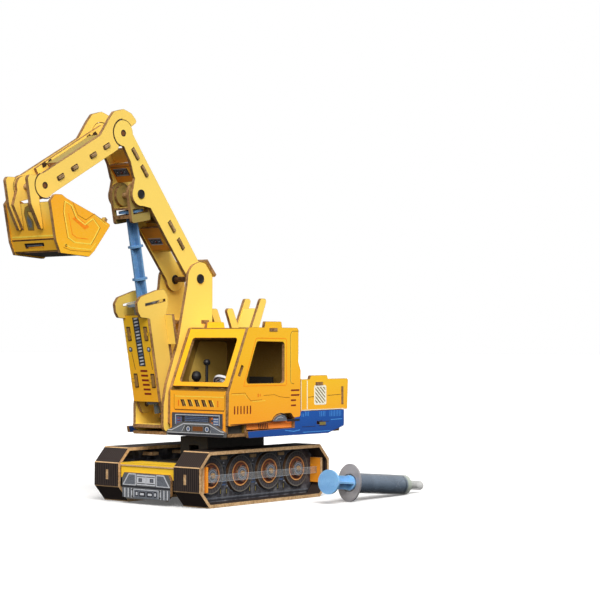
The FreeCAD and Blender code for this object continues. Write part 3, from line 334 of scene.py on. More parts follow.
# painted shade: deep olive for inner cross boards and clevis cheeks that sit in shade between the plates
M_SHADE = board_print("print_deep_olive", rgb(158, 136, 66), seed=5.7)
M_HFRONT = board_print("print_housing_front", rgb(246, 190, 10), rgb(255, 178, 10), (80, 120), seed=6.0)
M_ORANGE = board_print("print_orange", rgb(255, 170, 24), rgb(248, 150, 20), (150, 250), seed=7.0)
M_BRACE = board_print("print_brace", rgb(240, 150, 24), seed=7.5)
M_BSIDE = board_print("print_bucket_side", rgb(255, 176, 8), rgb(255, 190, 12), (180, 212), seed=8.0)
M_BBACK = board_print("print_bucket_back", rgb(240, 206, 96), rgb(250, 182, 14), (196, 210), seed=8.5)
M_FORK = board_print("print_fork", rgb(255, 215, 98), rgb(248, 186, 40), (194, 214), seed=8.7)
M_DECK = board_print("print_deck", rgb(252, 202, 30), seed=9.0)
M_SILL = board_print("print_sill", rgb(255, 122, 10), rgb(255, 150, 60), (55, 59), seed=9.5)
M_BLUE = board_print("print_blue", rgb(0, 80, 168), rgb(0, 66, 146), (50, 66), grain=(7, 1, 1), seed=10.0, speck=0.02, tint=rgb(10, 98, 188), rough=(0.55, 0.7))
M_RSIDE = board_print("print_rear_side", rgb(255, 196, 22), rgb(255, 178, 14), (66, 88), seed=11.0)
M_DARK = board_print("print_dark", rgb(62, 58, 54), grain=(7, 1, 1), seed=12.0, speck=0.03, outline=0.5)
M_BLACKB = board_print("print_black", rgb(30, 28, 28), seed=12.5, speck=0.02, outline=0.3)
M_SILVER = board_print("print_silver", rgb(84, 86, 90), grain=(1, 7, 1), seed=13.0, speck=0.06, outline=0.5)
M_GRILLE = board_print("print_grille", rgb(58, 62, 72), seed=13.5, speck=0.05, outline=0.4)
M_MECH = board_print("print_mechanical", rgb(84, 86, 90), seed=14.0, speck=0.06, outline=0.5)


def track_print():
    m = Mat("print_track_ribs")
    y = m.xyz()[1]
    ph = m.math("MULTIPLY", y, 2 * math.pi / 0.0019)
    w = m.math("ADD", m.math("MULTIPLY", m.math("SINE", ph), 0.5), 0.5)
    n = m.noise(260, (1, 1, 1), 3.0, 0.6)
    v = m.math("ADD", m.math("MULTIPLY", w, 0.72), m.math("MULTIPLY", n, 0.28))
    col = m.ramp(v, [(0.2, rgb(14, 10, 10)), (0.50, rgb(40, 31, 29)), (0.85, rgb(70, 56, 50))])
    e = m.math("MULTIPLY", m.edge_mask(0.0007), 0.5)
    col = m.mix(e, col, rgb(60, 42, 30))
    m.colour(col)
    m.put(m.bsdf, "Roughness", m.remap(n, 0.3, 0.7, 0.5, 0.7))
    m.set(Specular_IOR_Level=0.3)
    m.bump(v, 0.6, 0.00025)
    return m.m


def wheel_print():
    """Printed wheel: tyre with tread ticks, bright rim, rust-orange rings, grey hub. Radial about the nearest axle."""
    m = Mat("print_wheels")
    s = m.xyz()
    xm = m.math("SUBTRACT", m.math("MULTIPLY", s[0], 1000.0), SX * 1000 - 46 - 16)
    xm = m.math("SUBTRACT", m.math("FLOORED_MODULO", xm, 32.0), 16.0)
    zm = m.math("SUBTRACT", m.math("MULTIPLY", s[2], 1000.0), 22.0)
    r = m.math("SQRT", m.math("ADD", m.math("MULTIPLY", xm, xm), m.math("MULTIPLY", zm, zm)))
    wob = m.math("MULTIPLY", m.math("SUBTRACT", m.noise(300, (1, 1, 1), 2.0), 0.5), 0.35)
    t = m.math("DIVIDE", m.math("ADD", r, wob), 14.0)
    d1, d2 = rgb(46, 42, 44), rgb(74, 70, 72)
    k = 1 / 14.0
    stops = [(0.0, rgb(120, 124, 132)), (2.6 * k, rgb(62, 64, 72)), (3.2 * k, rgb(132, 138, 150)), (4.2 * k, rgb(60, 58, 64)),
             (4.7 * k, rgb(150, 128, 118)), (5.2 * k, rgb(48, 40, 40)), (6.3 * k, rgb(150, 68, 28)), (6.9 * k, rgb(62, 42, 34)), (7.6 * k, rgb(150, 76, 34)),
             (8.3 * k, rgb(246, 178, 104)), (9.0 * k, rgb(62, 42, 34)), (9.9 * k, d2), (12.6 * k, rgb(112, 106, 98)), (13.3 * k, d1)]
    col = m.ramp(t, stops, "CONSTANT")
    ang = m.math("ARCTAN2", zm, xm)
    tick = m.math("GREATER_THAN", m.math("SINE", m.math("MULTIPLY", ang, 26.0)), 0.25)
    ring = m.math("MULTIPLY", m.math("GREATER_THAN", r, 10.2), m.math("LESS_THAN", r, 12.5))
    col = m.mix(m.math("MULTIPLY", m.math("MULTIPLY", tick, ring), 0.55), col, rgb(34, 31, 33))
    bolt = m.math("GREATER_THAN", m.math("SINE", m.math("MULTIPLY", ang, 6.0)), 0.55)
    br = m.math("MULTIPLY", m.math("GREATER_THAN", r, 5.3), m.math("LESS_THAN", r, 6.2))
    col = m.mix(m.math("MULTIPLY", bolt, br), col, rgb(150, 92, 60))
    dim = m.remap(zm, -6.0, 9.0, 0.0, 0.38)
    bright = m.math("MULTIPLY", m.math("GREATER_THAN", r, 8.3), m.math("LESS_THAN", r, 9.3))
    col = m.mix(m.math("MULTIPLY", dim, bright), col, rgb(120, 60, 30))
    m.colour(col)
    n = m.noise(900, (1, 1, 1), 2.0)
    m.put(m.bsdf, "Roughness", m.remap(n, 0.3, 0.7, 0.45, 0.65))
    m.bump(n, 0.3, 0.0001)
    return m.m


def web_print():
    m = Mat("print_web_machinery")
    n1 = m.noise(120, (1, 1, 1), 4.0, 0.65, (4, 0, 2))
    vor = m.node("ShaderNodeTexVoronoi", feature="F1", distance="CHEBYCHEV")
    vor.inputs["Scale"].default_value = 210
    m.link(m.co(), vor.inputs["Vector"])
    v = m.math("ADD", m.math("MULTIPLY", n1, 0.7), m.math("MULTIPLY", vor.outputs["Distance"], 0.45))
    col = m.ramp(v, [(0.30, rgb(38, 36, 40)), (0.48, rgb(60, 58, 62)), (0.60, rgb(84, 84, 90)), (0.74, rgb(118, 116, 116))])
    m.colour(col)
    m.put(m.bsdf, "Roughness", m.remap(n1, 0.3, 0.7, 0.45, 0.65))
    m.bump(n1, 0.3, 0.0001)
    return m.m


E_TAB = board_edge("tab_end", rgb(176, 146, 104), rgb(104, 78, 48))
M_TRACK, M_WHEEL, M_WEB = track_print(), wheel_print(), web_print()


def steering_print():
    m = Mat("print_steering_wheel")
    lo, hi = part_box("steering_wheel")
    c = (lo + hi) / 2
    d = m.node("ShaderNodeVectorMath", operation="DISTANCE")
    m.link(m.co(), d.inputs[0])
    d.inputs[1].default_value = c
    t = m.math("MULTIPLY", d.outputs["Value"], 1000.0 / 11.0)
    white, navy = rgb(225, 226, 230), rgb(28, 42, 84)
    col = m.ramp(t, [(0.0, navy), (0.20, white), (0.50, navy), (0.58, white), (0.70, navy), (0.80, white), (0.94, rgb(150, 150, 156))], "CONSTANT")
    n = m.noise(700, (1, 1, 1), 2.0)
    m.colour(m.mix(m.math("MULTIPLY", m.remap(n, 0.3, 0.7, 0, 1), 0.12), col, rgb(120, 120, 130)))
    m.put(m.bsdf, "Roughness", m.remap(n, 0.3, 0.7, 0.4, 0.6))
    m.bump(n, 0.25, 0.0001)
    return m.m


M_STEER = steering_print()


def dowel():
    m = Mat("bare_dowel")
    g = m.noise(500, (1, 6, 1), 4.0, 0.65)
    col = m.ramp(g, [(0.3, rgb(128, 96, 62)), (0.55, rgb(180, 144, 98)), (0.75, rgb(205, 172, 126))])
    col = m.mix(m.math("MULTIPLY", m.edge_mask(0.0005), 0.5), col, rgb(70, 50, 34))
    m.colour(col)
    m.put(m.bsdf, "Roughness", m.remap(g, 0.3, 0.7, 0.6, 0.8))
    m.bump(g, 0.5, 0.00015)
    return m.m


M_DOWEL = dowel()


def moulded(name, c, shade, rough=0.28):
    """Moulded syringe plastic: slight flow marks, a painted highlight along the edges, satin gloss, a hint of light
    inside.
    """
    m = Mat(name)
    flow = m.noise(45, (1, 1, 3), 3.0, 0.55)
    fine = m.noise(1300, (1, 1, 1), 2.0, 0.5)
    col = m.ramp(flow, [(0.3, shade), (0.6, c)])
    # painted highlight: lighter colour along the sharp edges
    col = m.mix(m.math("MULTIPLY", m.edge_mask(0.0006), 0.35), col, tuple(min(1, v * 1.5 + 0.05) for v in c[:3]) + (1,))
    m.colour(col)
    m.put(m.bsdf, "Roughness", m.remap(fine, 0.3, 0.7, rough - 0.06, rough + 0.1))
    m.set(Specular_IOR_Level=0.5, Subsurface_Weight=0.12, Subsurface_Scale=0.002)
    m.bump(fine, 0.12, 0.00006)
    return m.m


M_PLUNGER = moulded("moulded_blue", rgb(108, 152, 196), rgb(86, 130, 178))
M_PLUNGER2 = moulded("moulded_light_blue", rgb(134, 186, 232), rgb(118, 170, 220))


def clear(name, c, alpha, rough=0.2, trans=0.2):
    m = Mat(name)
    fine = m.noise(700, (1, 1, 1), 2.0, 0.5)
    flow = m.noise(60, (1, 1, 1), 2.0, 0.5)
    d = tuple(v * 0.86 for v in c[:3]) + (1,)
    col = m.ramp(flow, [(0.35, d), (0.65, c)])
    m.colour(col)
    em = m.edge_mask(0.0009)
    m.put(m.bsdf, "Alpha", m.remap(em, 0.0, 1.0, alpha, min(1.0, alpha + 0.3)))
    m.put(m.bsdf, "Roughness", m.remap(fine, 0.3, 0.7, rough - 0.05, rough + 0.08))
    m.set(Transmission_Weight=trans, IOR=1.45, Specular_IOR_Level=0.6)
    m.bump(fine, 0.1, 0.00005)
    return m.m


def glassy(name, c, d, alpha, tip=None):
    m = Mat(name)
    flow = m.noise(40, (1, 1, 1), 2.0, 0.5)
    fine = m.noise(900, (1, 1, 1), 2.0, 0.5)
    col = m.ramp(flow, [(0.3, d), (0.7, c)])
    al = m.remap(m.edge_mask(0.0008), 0.0, 1.0, alpha, min(1.0, alpha + 0.25))
    if tip is not None:
        dn = m.node("ShaderNodeVectorMath", operation="DISTANCE")
        m.link(m.co(), dn.inputs[0])
        dn.inputs[1].default_value = tip[0]
        k = m.remap(dn.outputs["Value"], tip[1], tip[2], 1.0, 0.0)
        col = m.mix(k, col, rgb(190, 198, 186))
        band = m.math("COMPARE", dn.outputs["Value"], tip[2] + 0.0016, 0.0006)
        col = m.mix(m.math("MULTIPLY", band, 0.8), col, rgb(40, 52, 70))
        col = m.mix(m.math("GREATER_THAN", dn.outputs["Value"], tip[3]), col, rgb(158, 154, 156))
    m.colour(col)
    m.put(m.bsdf, "Alpha", al)
    m.put(m.bsdf, "Roughness", m.remap(fine, 0.3, 0.7, 0.08, 0.2))
    m.set(IOR=1.5, Specular_IOR_Level=0.8, Coat_Weight=0.6, Coat_Roughness=0.08)
    m.bump(fine, 0.08, 0.00005)
    return m.m


_hl, _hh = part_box("hose_stub")
M_BARREL = glassy("clear_barrel_grey_blue", rgb(138, 156, 172), rgb(118, 136, 154), 0.62)
M_BARREL2 = glassy("clear_barrel_control", rgb(112, 128, 146), rgb(92, 106, 124), 0.74, ((_hl + _hh) / 2, 0.0195, 0.0215, max((v.co - (_hl + _hh) / 2).length for v in NODES["control_barrel"].data.vertices) - 0.0045))
M_BAND = clear("clear_band_strap", rgb(205, 208, 210), 0.13, 0.12)
M_HOSE = clear("clear_tube", rgb(205, 206, 204), 0.6, 0.22)


def rubber():
    m = Mat("seal_rubber")
    n = m.noise(900, (1, 1, 1), 2.0)
    m.colour(m.ramp(n, [(0.3, rgb(44, 50, 58)), (0.7, rgb(66, 74, 84))]))
    m.put(m.bsdf, "Roughness", m.remap(n, 0.3, 0.7, 0.45, 0.6))
    m.bump(n, 0.2, 0.0001)
    return m.m


def black(name="matte_black", c=rgb(16, 16, 20)):
    m = Mat(name)
    n = m.noise(800, (1, 1, 1), 3.0)
    m.colour(m.ramp(n, [(0.3, tuple(v * 0.7 for v in c[:3]) + (1,)), (0.7, tuple(min(1, v * 1.5) for v in c[:3]) + (1,))]))
    m.put(m.bsdf, "Roughness", m.remap(n, 0.3, 0.7, 0.35, 0.55))
    m.bump(n, 0.25, 0.0001)
    return m.m


M_SEAL, M_BLACK = rubber(), black()


# ---------------------------------------------------------------- CAD boards: printed faces and bare cut edges
def pieces_of(me):
    """Groups a node's triangles by solid, welding equal corners. Returns [(triangle indices, normal of the board, centre, size)] in mm."""
    co = np.empty(len(me.vertices) * 3)
    me.vertices.foreach_get("co", co)
    co = co.reshape(-1, 3)
    key = np.round(co * 2e4).astype(np.int64)
    _, weld = np.unique(key, axis=0, return_inverse=True)
    weld = weld.ravel()
    root = list(range(int(weld.max()) + 1))

    def find(a):
        while root[a] != a:
            root[a] = root[root[a]]
            a = root[a]
        return a
    polys = [[int(weld[v]) for v in p.vertices] for p in me.polygons]
    for vs in polys:
        a = find(vs[0])
        for b in vs[1:]:
            root[find(b)] = a
    groups = {}
    for i, vs in enumerate(polys):
        groups.setdefault(find(vs[0]), []).append(i)
    out = []
    for ids in groups.values():
        tally = {}
        pts = []
        for i in ids:
            p = me.polygons[i]
            n = p.normal
            if n.x < -0.02 or (abs(n.x) <= 0.02 and (n.y < -0.02 or (abs(n.y) <= 0.02 and n.z < 0))):
                n = -n
            k = (round(n.x, 1), round(n.y, 1), round(n.z, 1))
            a, s = tally.get(k, (0.0, Vector()))
            tally[k] = (a + p.area, s + n * p.area)
            pts += [co[v] for v in p.vertices]
        area_, s = max(tally.values(), key=lambda t: t[0])
        pts = np.array(pts)
        lo, hi = pts.min(0), pts.max(0)
        c = ((lo + hi) / 2 - np.array((SX, SY, 0))) * 1000
        out.append((ids, s.normalized(), c, (hi - lo) * 1000))
    return out


def dress(node, face, edge=None, pick=None, rule=None):
    """face and edge go on a node's material slots. pick(centre, size) may give another (face, edge) for one solid."""
    o = NODES[node]
    me = o.data
    me.materials.clear()
    order = []

    def index(mat):
        if mat not in order:
            order.append(mat)
            me.materials.append(mat)
        return order.index(mat)
    index(face)
    for ids, n, c, size in pieces_of(me):
        f, e = (pick(c, size) if pick else None) or (face, edge)
        fi = index(f)
        ei = index(e) if e is not None else fi
        for i in ids:
            p = me.polygons[i]
            if rule is not None:
                flat = rule(p.normal)
            else:
                flat = abs(p.normal.dot(n)) > 0.97
            p.material_index = fi if flat else ei
    return o


def smooth(node, angle=35):
    """Round CAD faces shade smoothly."""
    me = NODES[node].data
    me.polygons.foreach_set("use_smooth", [True] * len(me.polygons))


side = lambda n: abs(n.y) < 0.6
for t in ("left_track_boards", "right_track_boards"):
    dress(t, M_TRACK, E_TRACK, rule=side)
dress("track_webs", M_WEB, E_TRACK, pick=lambda c, s: (E_TRACK, E_TRACK) if s[0] < 20 else None)
dress("road_wheels", M_WHEEL, E_DARK)
dress("wheel_dowels", M_DOWEL)
dress("band_stubs", M_ORANGE, E_TRACK)
dress("clear_bands", M_BAND)
dress("chassis_decks", M_DARK, E_DARK, pick=lambda c, s: (M_DECK, E_TRACK) if s[0] > 10 and c[0] > 49 else (M_DARK, E_TRACK))
def repaint(node, mat, test):
    """Gives the faces of a node that pass test(normal, centre in working mm) another material."""
    me = NODES[node].data
    if mat.name not in [q.name for q in me.materials]:
        me.materials.append(mat)
    k = [q.name for q in me.materials].index(mat.name)
    for p in me.polygons:
        c = p.center
        if test(p.normal, Vector(((c.x - SX) * 1000, (c.y - SY) * 1000, c.z * 1000))):
            p.material_index = k


repaint("chassis_decks", M_DECK, lambda n, c: n.z > 0.9 and c.x > 49)
repaint("chassis_decks", M_DECK, lambda n, c: n.x > 0.9 and c.x > 60)
dress("chassis_beams", M_DARK, E_DARK, pick=lambda c, s: (M_DECK, E_BODY) if c[0] > 60 else None)
dress("bumper_panel", M_MECH, E_BODY)
dress("pedestal_boards", M_DARK, M_DARK)
dress("slew_pivot", M_DARK, E_DARK)
dress("slew_washer", M_DARK, E_DARK)
dress("control_barrel", M_BARREL2)
dress("hose_stub", M_HOSE)
dress("house_floor", M_DARK, E_BODY)
dress("tower_plates", M_PALE, E_BODY)
dress("tower_cross_boards", M_PALE, E_BODY)
dress("tower_cap_board", M_PALE, E_BODY)
dress("house_pins", E_DARK)
dress("cab_sides", M_CAB, E_BODY)
# the inner faces of the cab sides take the painted shade colour
repaint("cab_sides", M_CAB_INNER_SHADE, lambda n, c: abs(n.y) > 0.97 and 4.0 < c.y < 60.0 and c.z < 126)
dress("windshield_frame", M_CAB, E_BODY)
dress("cab_front_panel", M_CAB, E_BODY)
dress("grille_and_bumper", M_GRILLE, E_BODY, pick=lambda c, s: (M_SILVER, M_SILVER) if s[0] > 2 else None)
dress("cab_roof", M_CAB, E_BODY)
dress("cab_rear_panel", M_CAB_INNER_SHADE, E_BODY)
dress("cab_seat", M_BLACKB, M_BLACKB)
dress("dash_board", M_CAB_INNER_SHADE, E_BODY)
dress("cab_lever", M_BLACK)
dress("base_sides", M_BLUE, E_BODY, pick=lambda c, s: (M_SILL, E_BODY) if s[0] < 60 else None)
dress("rear_sides", M_RSIDE, E_BODY)
dress("rear_boards", M_RSIDE, E_BODY)
dress("cradle", M_PALE, E_BODY)
dress("steering_wheel", M_STEER)
dress("boom_plates", M_PALE_X, E_BODY)
dress("boom_cross_boards", M_PALE_X, E_BODY, pick=lambda c, s: (M_SHADE, E_BODY) if s[1] < 25 else None)
dress("boom_braces", M_BRACE, E_BODY)
dress("boom_pins", M_DOWEL)
dress("clevis_cheeks", M_SHADE, E_BODY)
dress("clevis_boards", M_PALE_SHADED, E_BODY)
dress("stick_outer_plates", M_STICK, E_BODY)
dress("stick_inner_plates", M_STICK, E_BODY)
dress("stick_cross_boards", M_STICK, E_BODY, pick=lambda c, s: (M_SHADE, E_BODY) if s[1] < 25 else None)
dress("stick_bottom_boards", M_BRACE, E_BODY)
dress("bucket_pin", M_DOWEL)
dress("bucket_sides", M_BSIDE, E_BODY)
dress("bucket_back", M_BBACK, E_BODY)
dress("bucket_floor", M_DARK, E_BODY, pick=lambda c, s: (M_PALE_SHADED, E_BODY) if s[2] > 15 else None)
dress("bucket_forks", M_FORK, E_BODY)
dress("bucket_ears", M_FORK, E_BODY)
dress("housing_sides", M_HSIDE, E_BODY)
dress("housing_front_plate", M_HFRONT, E_BODY)
dress("housing_rear_plate", M_PALE, E_BODY)
dress("barrel_saddles", M_PALE_SHADED, E_BODY)
dress("arm_barrel", M_BARREL)
dress("arm_plunger", M_PLUNGER)
dress("arm_seal", M_SEAL)
dress("control_plunger", M_PLUNGER2)
dress("control_seal", M_SEAL)

# ---------------------------------------------------------------- prints: thin inlays standing 0.05 mm on the boards
K_BLACK = ink("ink_black", rgb(24, 18, 16))
K_BROWN = ink("ink_brown", rgb(120, 70, 30))
K_RED = ink("ink_red_brown", rgb(130, 34, 14))
K_DARK = ink("ink_dark_grey", rgb(40, 40, 46))
K_TAN = ink("ink_bare_wood", rgb(206, 168, 122), 0.7, 0.2)
K_TAB = ink("ink_board_end", rgb(150, 112, 58), 0.7, 0.22)
# painted shadow: dark brown for the shade in slots, in the gaps round the heads and at the pivots
K_GAP_SHADOW = ink("ink_slot_shadow", rgb(58, 40, 22))
K_GREY = ink("ink_grey", rgb(104, 108, 116), vary=0.25)
K_LIGHT = ink("ink_light_grey", rgb(196, 198, 204))
K_WHITE = ink("ink_white", rgb(250, 244, 226))
K_ORANGE = ink("ink_orange", rgb(240, 116, 10))
K_ORANGE2 = ink("ink_deep_orange", rgb(255, 142, 4))
K_YELLOW = ink("ink_bright_yellow", rgb(255, 222, 84))
K_LINE = ink("ink_panel_line", rgb(176, 112, 10))
K_BLUEL = ink("ink_light_blue", rgb(74, 148, 222))
K_BLUEG = ink("ink_blue_grey", rgb(84, 104, 142), vary=0.25)
K_OLIVE = ink("ink_olive", rgb(132, 118, 64))
K_NAVY = ink("ink_navy", rgb(40, 48, 86))

PRINTS = {}


def rect(a, b, c, d):
    return [[(a, b), (c, b), (c, d), (a, d)]]


def rrect(a, b, c, d, r, n=5):
    pts = []
    for cx, cy, t0 in ((c - r, d - r, 0), (a + r, d - r, 90), (a + r, b + r, 180), (c - r, b + r, 270)):
        for i in range(n + 1):
            t = math.radians(t0 + 90 * i / n)
            pts.append((cx + r * math.cos(t), cy + r * math.sin(t)))
    return [pts]


def disc(cx, cy, r, n=20):
    return [[(cx + r * math.cos(2 * math.pi * i / n), cy + r * math.sin(2 * math.pi * i / n)) for i in range(n)]]


def ring(cx, cy, r0, r1, n=24, t0=0.0, t1=360.0):
    out = []
    for i in range(n):
        a, b = (math.radians(t0 + (t1 - t0) * k / n) for k in (i, i + 1))
        out.append([(cx + r * math.cos(t), cy + r * math.sin(t)) for r, t in ((r0, a), (r1, a), (r1, b), (r0, b))])
    return out


def stroke(pts, w, closed=False):
    """A mitred line of width w along the points."""
    n = len(pts)
    v = [Vector(p) for p in pts]
    left, right = [], []
    for i in range(n):
        a = v[i - 1] if (i > 0 or closed) else None
        b = v[(i + 1) % n] if (i < n - 1 or closed) else None
        d1 = (v[i] - a).normalized() if a is not None else None
        d2 = (b - v[i]).normalized() if b is not None else None
        d1 = d1 if d1 is not None else d2
        d2 = d2 if d2 is not None else d1
        n1, n2 = Vector((-d1.y, d1.x)), Vector((-d2.y, d2.x))
        m = (n1 + n2)
        m = m.normalized() if m.length > 1e-6 else n1
        k = min(2.0, 1.0 / max(0.35, m.dot(n1)))
        left.append(tuple(v[i] + m * (w / 2 * k)))
        right.append(tuple(v[i] - m * (w / 2 * k)))
    out = []
    for i in range(n if closed else n - 1):
        j = (i + 1) % n
        out.append([right[i], right[j], left[j], left[i]])
    return out


def put(group, body, mat, origin, u, v, shapes, level=0, sink=0.02):
    """Adds flat shapes in millimetres on the plane through origin with axes u and v. Higher levels lie on lower ones."""
    PRINTS.setdefault((group, body, mat.name, level), []).append((origin.copy(), u.normalized(), v.normalized(), shapes, sink))


def build_prints():
    for (group, body, mname, level), items in PRINTS.items():
        bm = bmesh.new()
        for origin, u, v, shapes, sink in items:
            n = u.cross(v)
            for poly in shapes:
                base = []
                for a, b in poly:
                    base.append(bm.verts.new(origin + (u * a + v * b) / 1000 - n * (sink / 1000)))
                top = [bm.verts.new(w.co + n * ((sink + 0.05 + 0.035 * level) / 1000)) for w in base]
                k = len(base)
                try:
                    bm.faces.new(top)
                    bm.faces.new(base[::-1])
                except ValueError:
                    continue
                for i in range(k):
                    j = (i + 1) % k
                    bm.faces.new((base[i], base[j], top[j], top[i]))
        bmesh.ops.remove_doubles(bm, verts=bm.verts, dist=1e-7)
        # strips that meet share a wall: take the inner walls out so that a print is one skin
        seen = {}
        for f in bm.faces:
            seen.setdefault(frozenset(x.index for x in f.verts), []).append(f)
        bm.verts.index_update()
        seen = {}
        for f in bm.faces:
            seen.setdefault(frozenset(x.index for x in f.verts), []).append(f)
        twice = [f for fs in seen.values() if len(fs) > 1 for f in fs]
        if twice:
            bmesh.ops.delete(bm, geom=twice, context="FACES_ONLY")
        bmesh.ops.recalc_face_normals(bm, faces=bm.faces)
        name = f"{group}_{mname.replace('ink_', '')}" + (f"_{level}" if level else "")
        me = bpy.data.meshes.new(name)
        bm.to_mesh(me)
        bm.free()
        me.materials.append(bpy.data.materials[mname])
        o = bpy.data.objects.new(name, me)
        scene.collection.objects.link(o)
        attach(o, body)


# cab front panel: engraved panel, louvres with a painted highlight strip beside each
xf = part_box("cab_front_panel")[1].x
O = Vector((xf, SY, 0))
for i in range(5):
    yc = 18.6 + i * 6.85
    # painted highlight: a bright yellow strip along each louvre
    put("cab_front_louvres", "house", K_YELLOW, O, Y, Z, [[(yc + 2.3, 71.6), (yc + 3.1, 71.6), (yc + 0.8, 76.2), (yc + 0.0, 76.2)]])
    put("cab_front_louvres", "house", K_BLACK, O, Y, Z, [[(yc - 1.3, 71.4), (yc + 0.05, 71.4), (yc - 2.25, 76.4), (yc - 3.6, 76.4)]])
dark_back = P(49.5, 0, 0)
put("cab_louvre_shade", "house", K_BLACK, Vector((dark_back.x, SY, 0)), Y, Z, rect(12.0, 70.6, 52.0, 77.2))
put("cab_front_louvres", "house", K_ORANGE, O, Y, Z, rect(12.6, 71.6, 13.6, 76.0) + rect(51.4, 71.6, 52.4, 76.0))
put("cab_front_panel_print", "house", K_LINE, O, Y, Z, stroke([(58.6, 80.2), (58.6, 70.0), (57.8, 69.1), (9.6, 69.1), (8.7, 70.0), (8.7, 80.2)], 0.45))
put("cab_front_panel_print", "house", K_BROWN, O, Y, Z, stroke([(9.4, 68.75), (58.0, 68.75)], 0.5) + stroke([(6.0, 83.0), (58.8, 83.0)], 0.4))
put("cab_front_panel_print", "house", K_YELLOW, O, Y, Z, stroke([(9.6, 78.6), (57.6, 78.6)], 0.6))

# printed grille
gl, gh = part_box("grille_and_bumper")
O = Vector((P(53.1, 0, 0).x, SY, 0))
W = []
put("grille_print", "house", K_LIGHT, O, Y, Z, stroke([(10.9, 58.5), (10.9, 65.2), (54.1, 65.4), (54.1, 58.2)], 0.55), 1)
put("grille_print", "house", K_DARK, O, Y, Z, rect(17.5, 57.0, 19.8, 64.6) + rect(43.6, 58.0, 44.4, 64.8) + rect(11.4, 64.0, 53.6, 64.7), 1)
for i in range(5):
    put("grille_print", "house", K_DARK, O, Y, Z, rect(20.6, 57.9 + i * 1.25, 42.8, 58.4 + i * 1.25), 1)
    put("grille_print", "house", K_BLUEG, O, Y, Z, rect(20.6, 58.5 + i * 1.25, 42.8, 58.95 + i * 1.25), 1)
for i in range(3):
    put("grille_print", "house", K_RED, O, Y, Z, rect(12.6, 58.6 + i * 1.9, 16.2, 59.3 + i * 1.9), 1)
    put("grille_print", "house", K_LIGHT, O, Y, Z, rect(48.6, 58.9 + i * 1.8, 53.0, 59.5 + i * 1.8), 1)
put("grille_print", "house", K_GREY, O, Y, Z, rect(20.4, 57.4, 43.0, 64.0))
put("grille_print", "house", K_BROWN, O, Y, Z, rect(44.8, 58.4, 46.2, 64.4), 1)
put("grille_print", "house", K_ORANGE, O, Y, Z, rect(46.6, 59.0, 47.7, 60.4) + rect(46.6, 62.4, 47.7, 63.8), 1)
put("grille_print", "house", K_BLUEG, O, Y, Z, rect(11.6, 57.4, 17.0, 63.8) + rect(48.2, 58.4, 53.4, 63.8))

# bumper: outlined trapezoid, lamps, dark plate
O = Vector((P(54.8, 0, 0).x, SY, 0))
put("bumper_print", "house", K_LIGHT, O, Y, Z, stroke([(5.0, 54.1), (8.5, 54.0), (20.5, 58.9), (45.5, 59.0), (57.0, 54.3), (60.2, 54.0)], 0.7), 1)
put("bumper_print", "house", K_LIGHT, O, Y, Z, stroke([(4.4, 52.4), (60.2, 52.4)], 0.45) + stroke([(18.8, 53.2), (21.6, 57.6)], 0.4) + stroke([(47.4, 53.2), (44.6, 57.6)], 0.4), 1)
put("bumper_print", "house", K_DARK, O, Y, Z, rect(5.0, 50.5, 59.6, 51.9) + rrect(22.4, 53.2, 28.0, 57.6, 1.4) + rrect(41.0, 53.2, 46.6, 57.6, 1.4), 1)
put("bumper_print", "house", K_LIGHT, O, Y, Z, ring(25.3, 55.3, 1.15, 1.85) + ring(43.7, 55.4, 1.15, 1.85), 2)
put("bumper_print", "house", K_BLUEG, O, Y, Z, disc(25.3, 55.3, 1.1) + disc(43.7, 55.4, 1.1), 2)
put("bumper_print", "house", K_BROWN, O, Y, Z, rrect(29.6, 53.9, 39.6, 57.2, 0.6), 1)
put("bumper_print", "house", K_GREY, O, Y, Z, [[(9.0, 53.0), (18.0, 53.0), (20.6, 57.8), (19.8, 57.9)], [(57.0, 53.0), (48.2, 53.0), (45.6, 57.8), (46.3, 57.9)]])

# cab side
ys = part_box("cab_sides")[1].y
O = Vector((SX, ys, 0))
U = -X


def xz(shapes):
    """Shapes given as (x, z) on the left side, for axes -X and Z."""
    return [[(-a, b) for a, b in p][::-1] for p in shapes]


LS = lambda g, m, s, lv=0, body="house": put(g, body, m, O, U, Z, xz(s), lv)
for i in range(6):
    x = 45.6 - i * 3.43
    LS("cab_side_dashes", K_RED, [[(x - 0.6, 66.4), (x + 0.6, 66.4), (x + 0.6, 72.2), (x - 0.6, 72.2)]])
for z_, x1 in ((82.3, -26.7), (78.7, -26.7), (74.9, -22.8), (71.1, -22.8)):
    LS("cab_side_dashes", K_RED, rect(x1, z_ - 0.6, -17.0, z_ + 0.6))
LS("cab_side_lines", K_LINE, stroke([(49.0, 81.2), (34.4, 81.4), (31.1, 78.1), (27.9, 75.7), (15.8, 76.2)], 0.4) + stroke([(14.0, 79.2), (1.9, 79.5), (-4.0, 77.9), (-11.3, 77.1), (-15.5, 77.1)], 0.4))
LS("cab_side_lines", K_YELLOW, stroke([(48.4, 80.5), (34.8, 80.6), (31.8, 77.5)], 0.35) + stroke([(26.5, 75.0), (12.0, 75.4)], 0.4))
post = [(-26.2, 126.3), (-19.0, 126.2), (-17.3, 125.2), (-16.4, 123.2), (-16.4, 89.4), (-17.4, 87.6), (-20.5, 87.0)]
LS("cab_side_lines", K_BROWN, stroke(post, 0.35))
LS("cab_side_lines", K_YELLOW, stroke([(a - 0.5, b - 0.4) for a, b in post[1:-1]], 0.45))
LS("cab_side_lines", K_BROWN, stroke([(50.0, 59.0), (4.8, 59.4)], 0.8))
win = [(35.9, 86.4), (22.6, 120.3), (20.4, 121.0), (-10.6, 120.7), (-11.8, 119.4), (-11.8, 87.3), (-10.8, 86.2)]
LS("cab_side_lines", K_ORANGE2, stroke(win, 0.55, True))
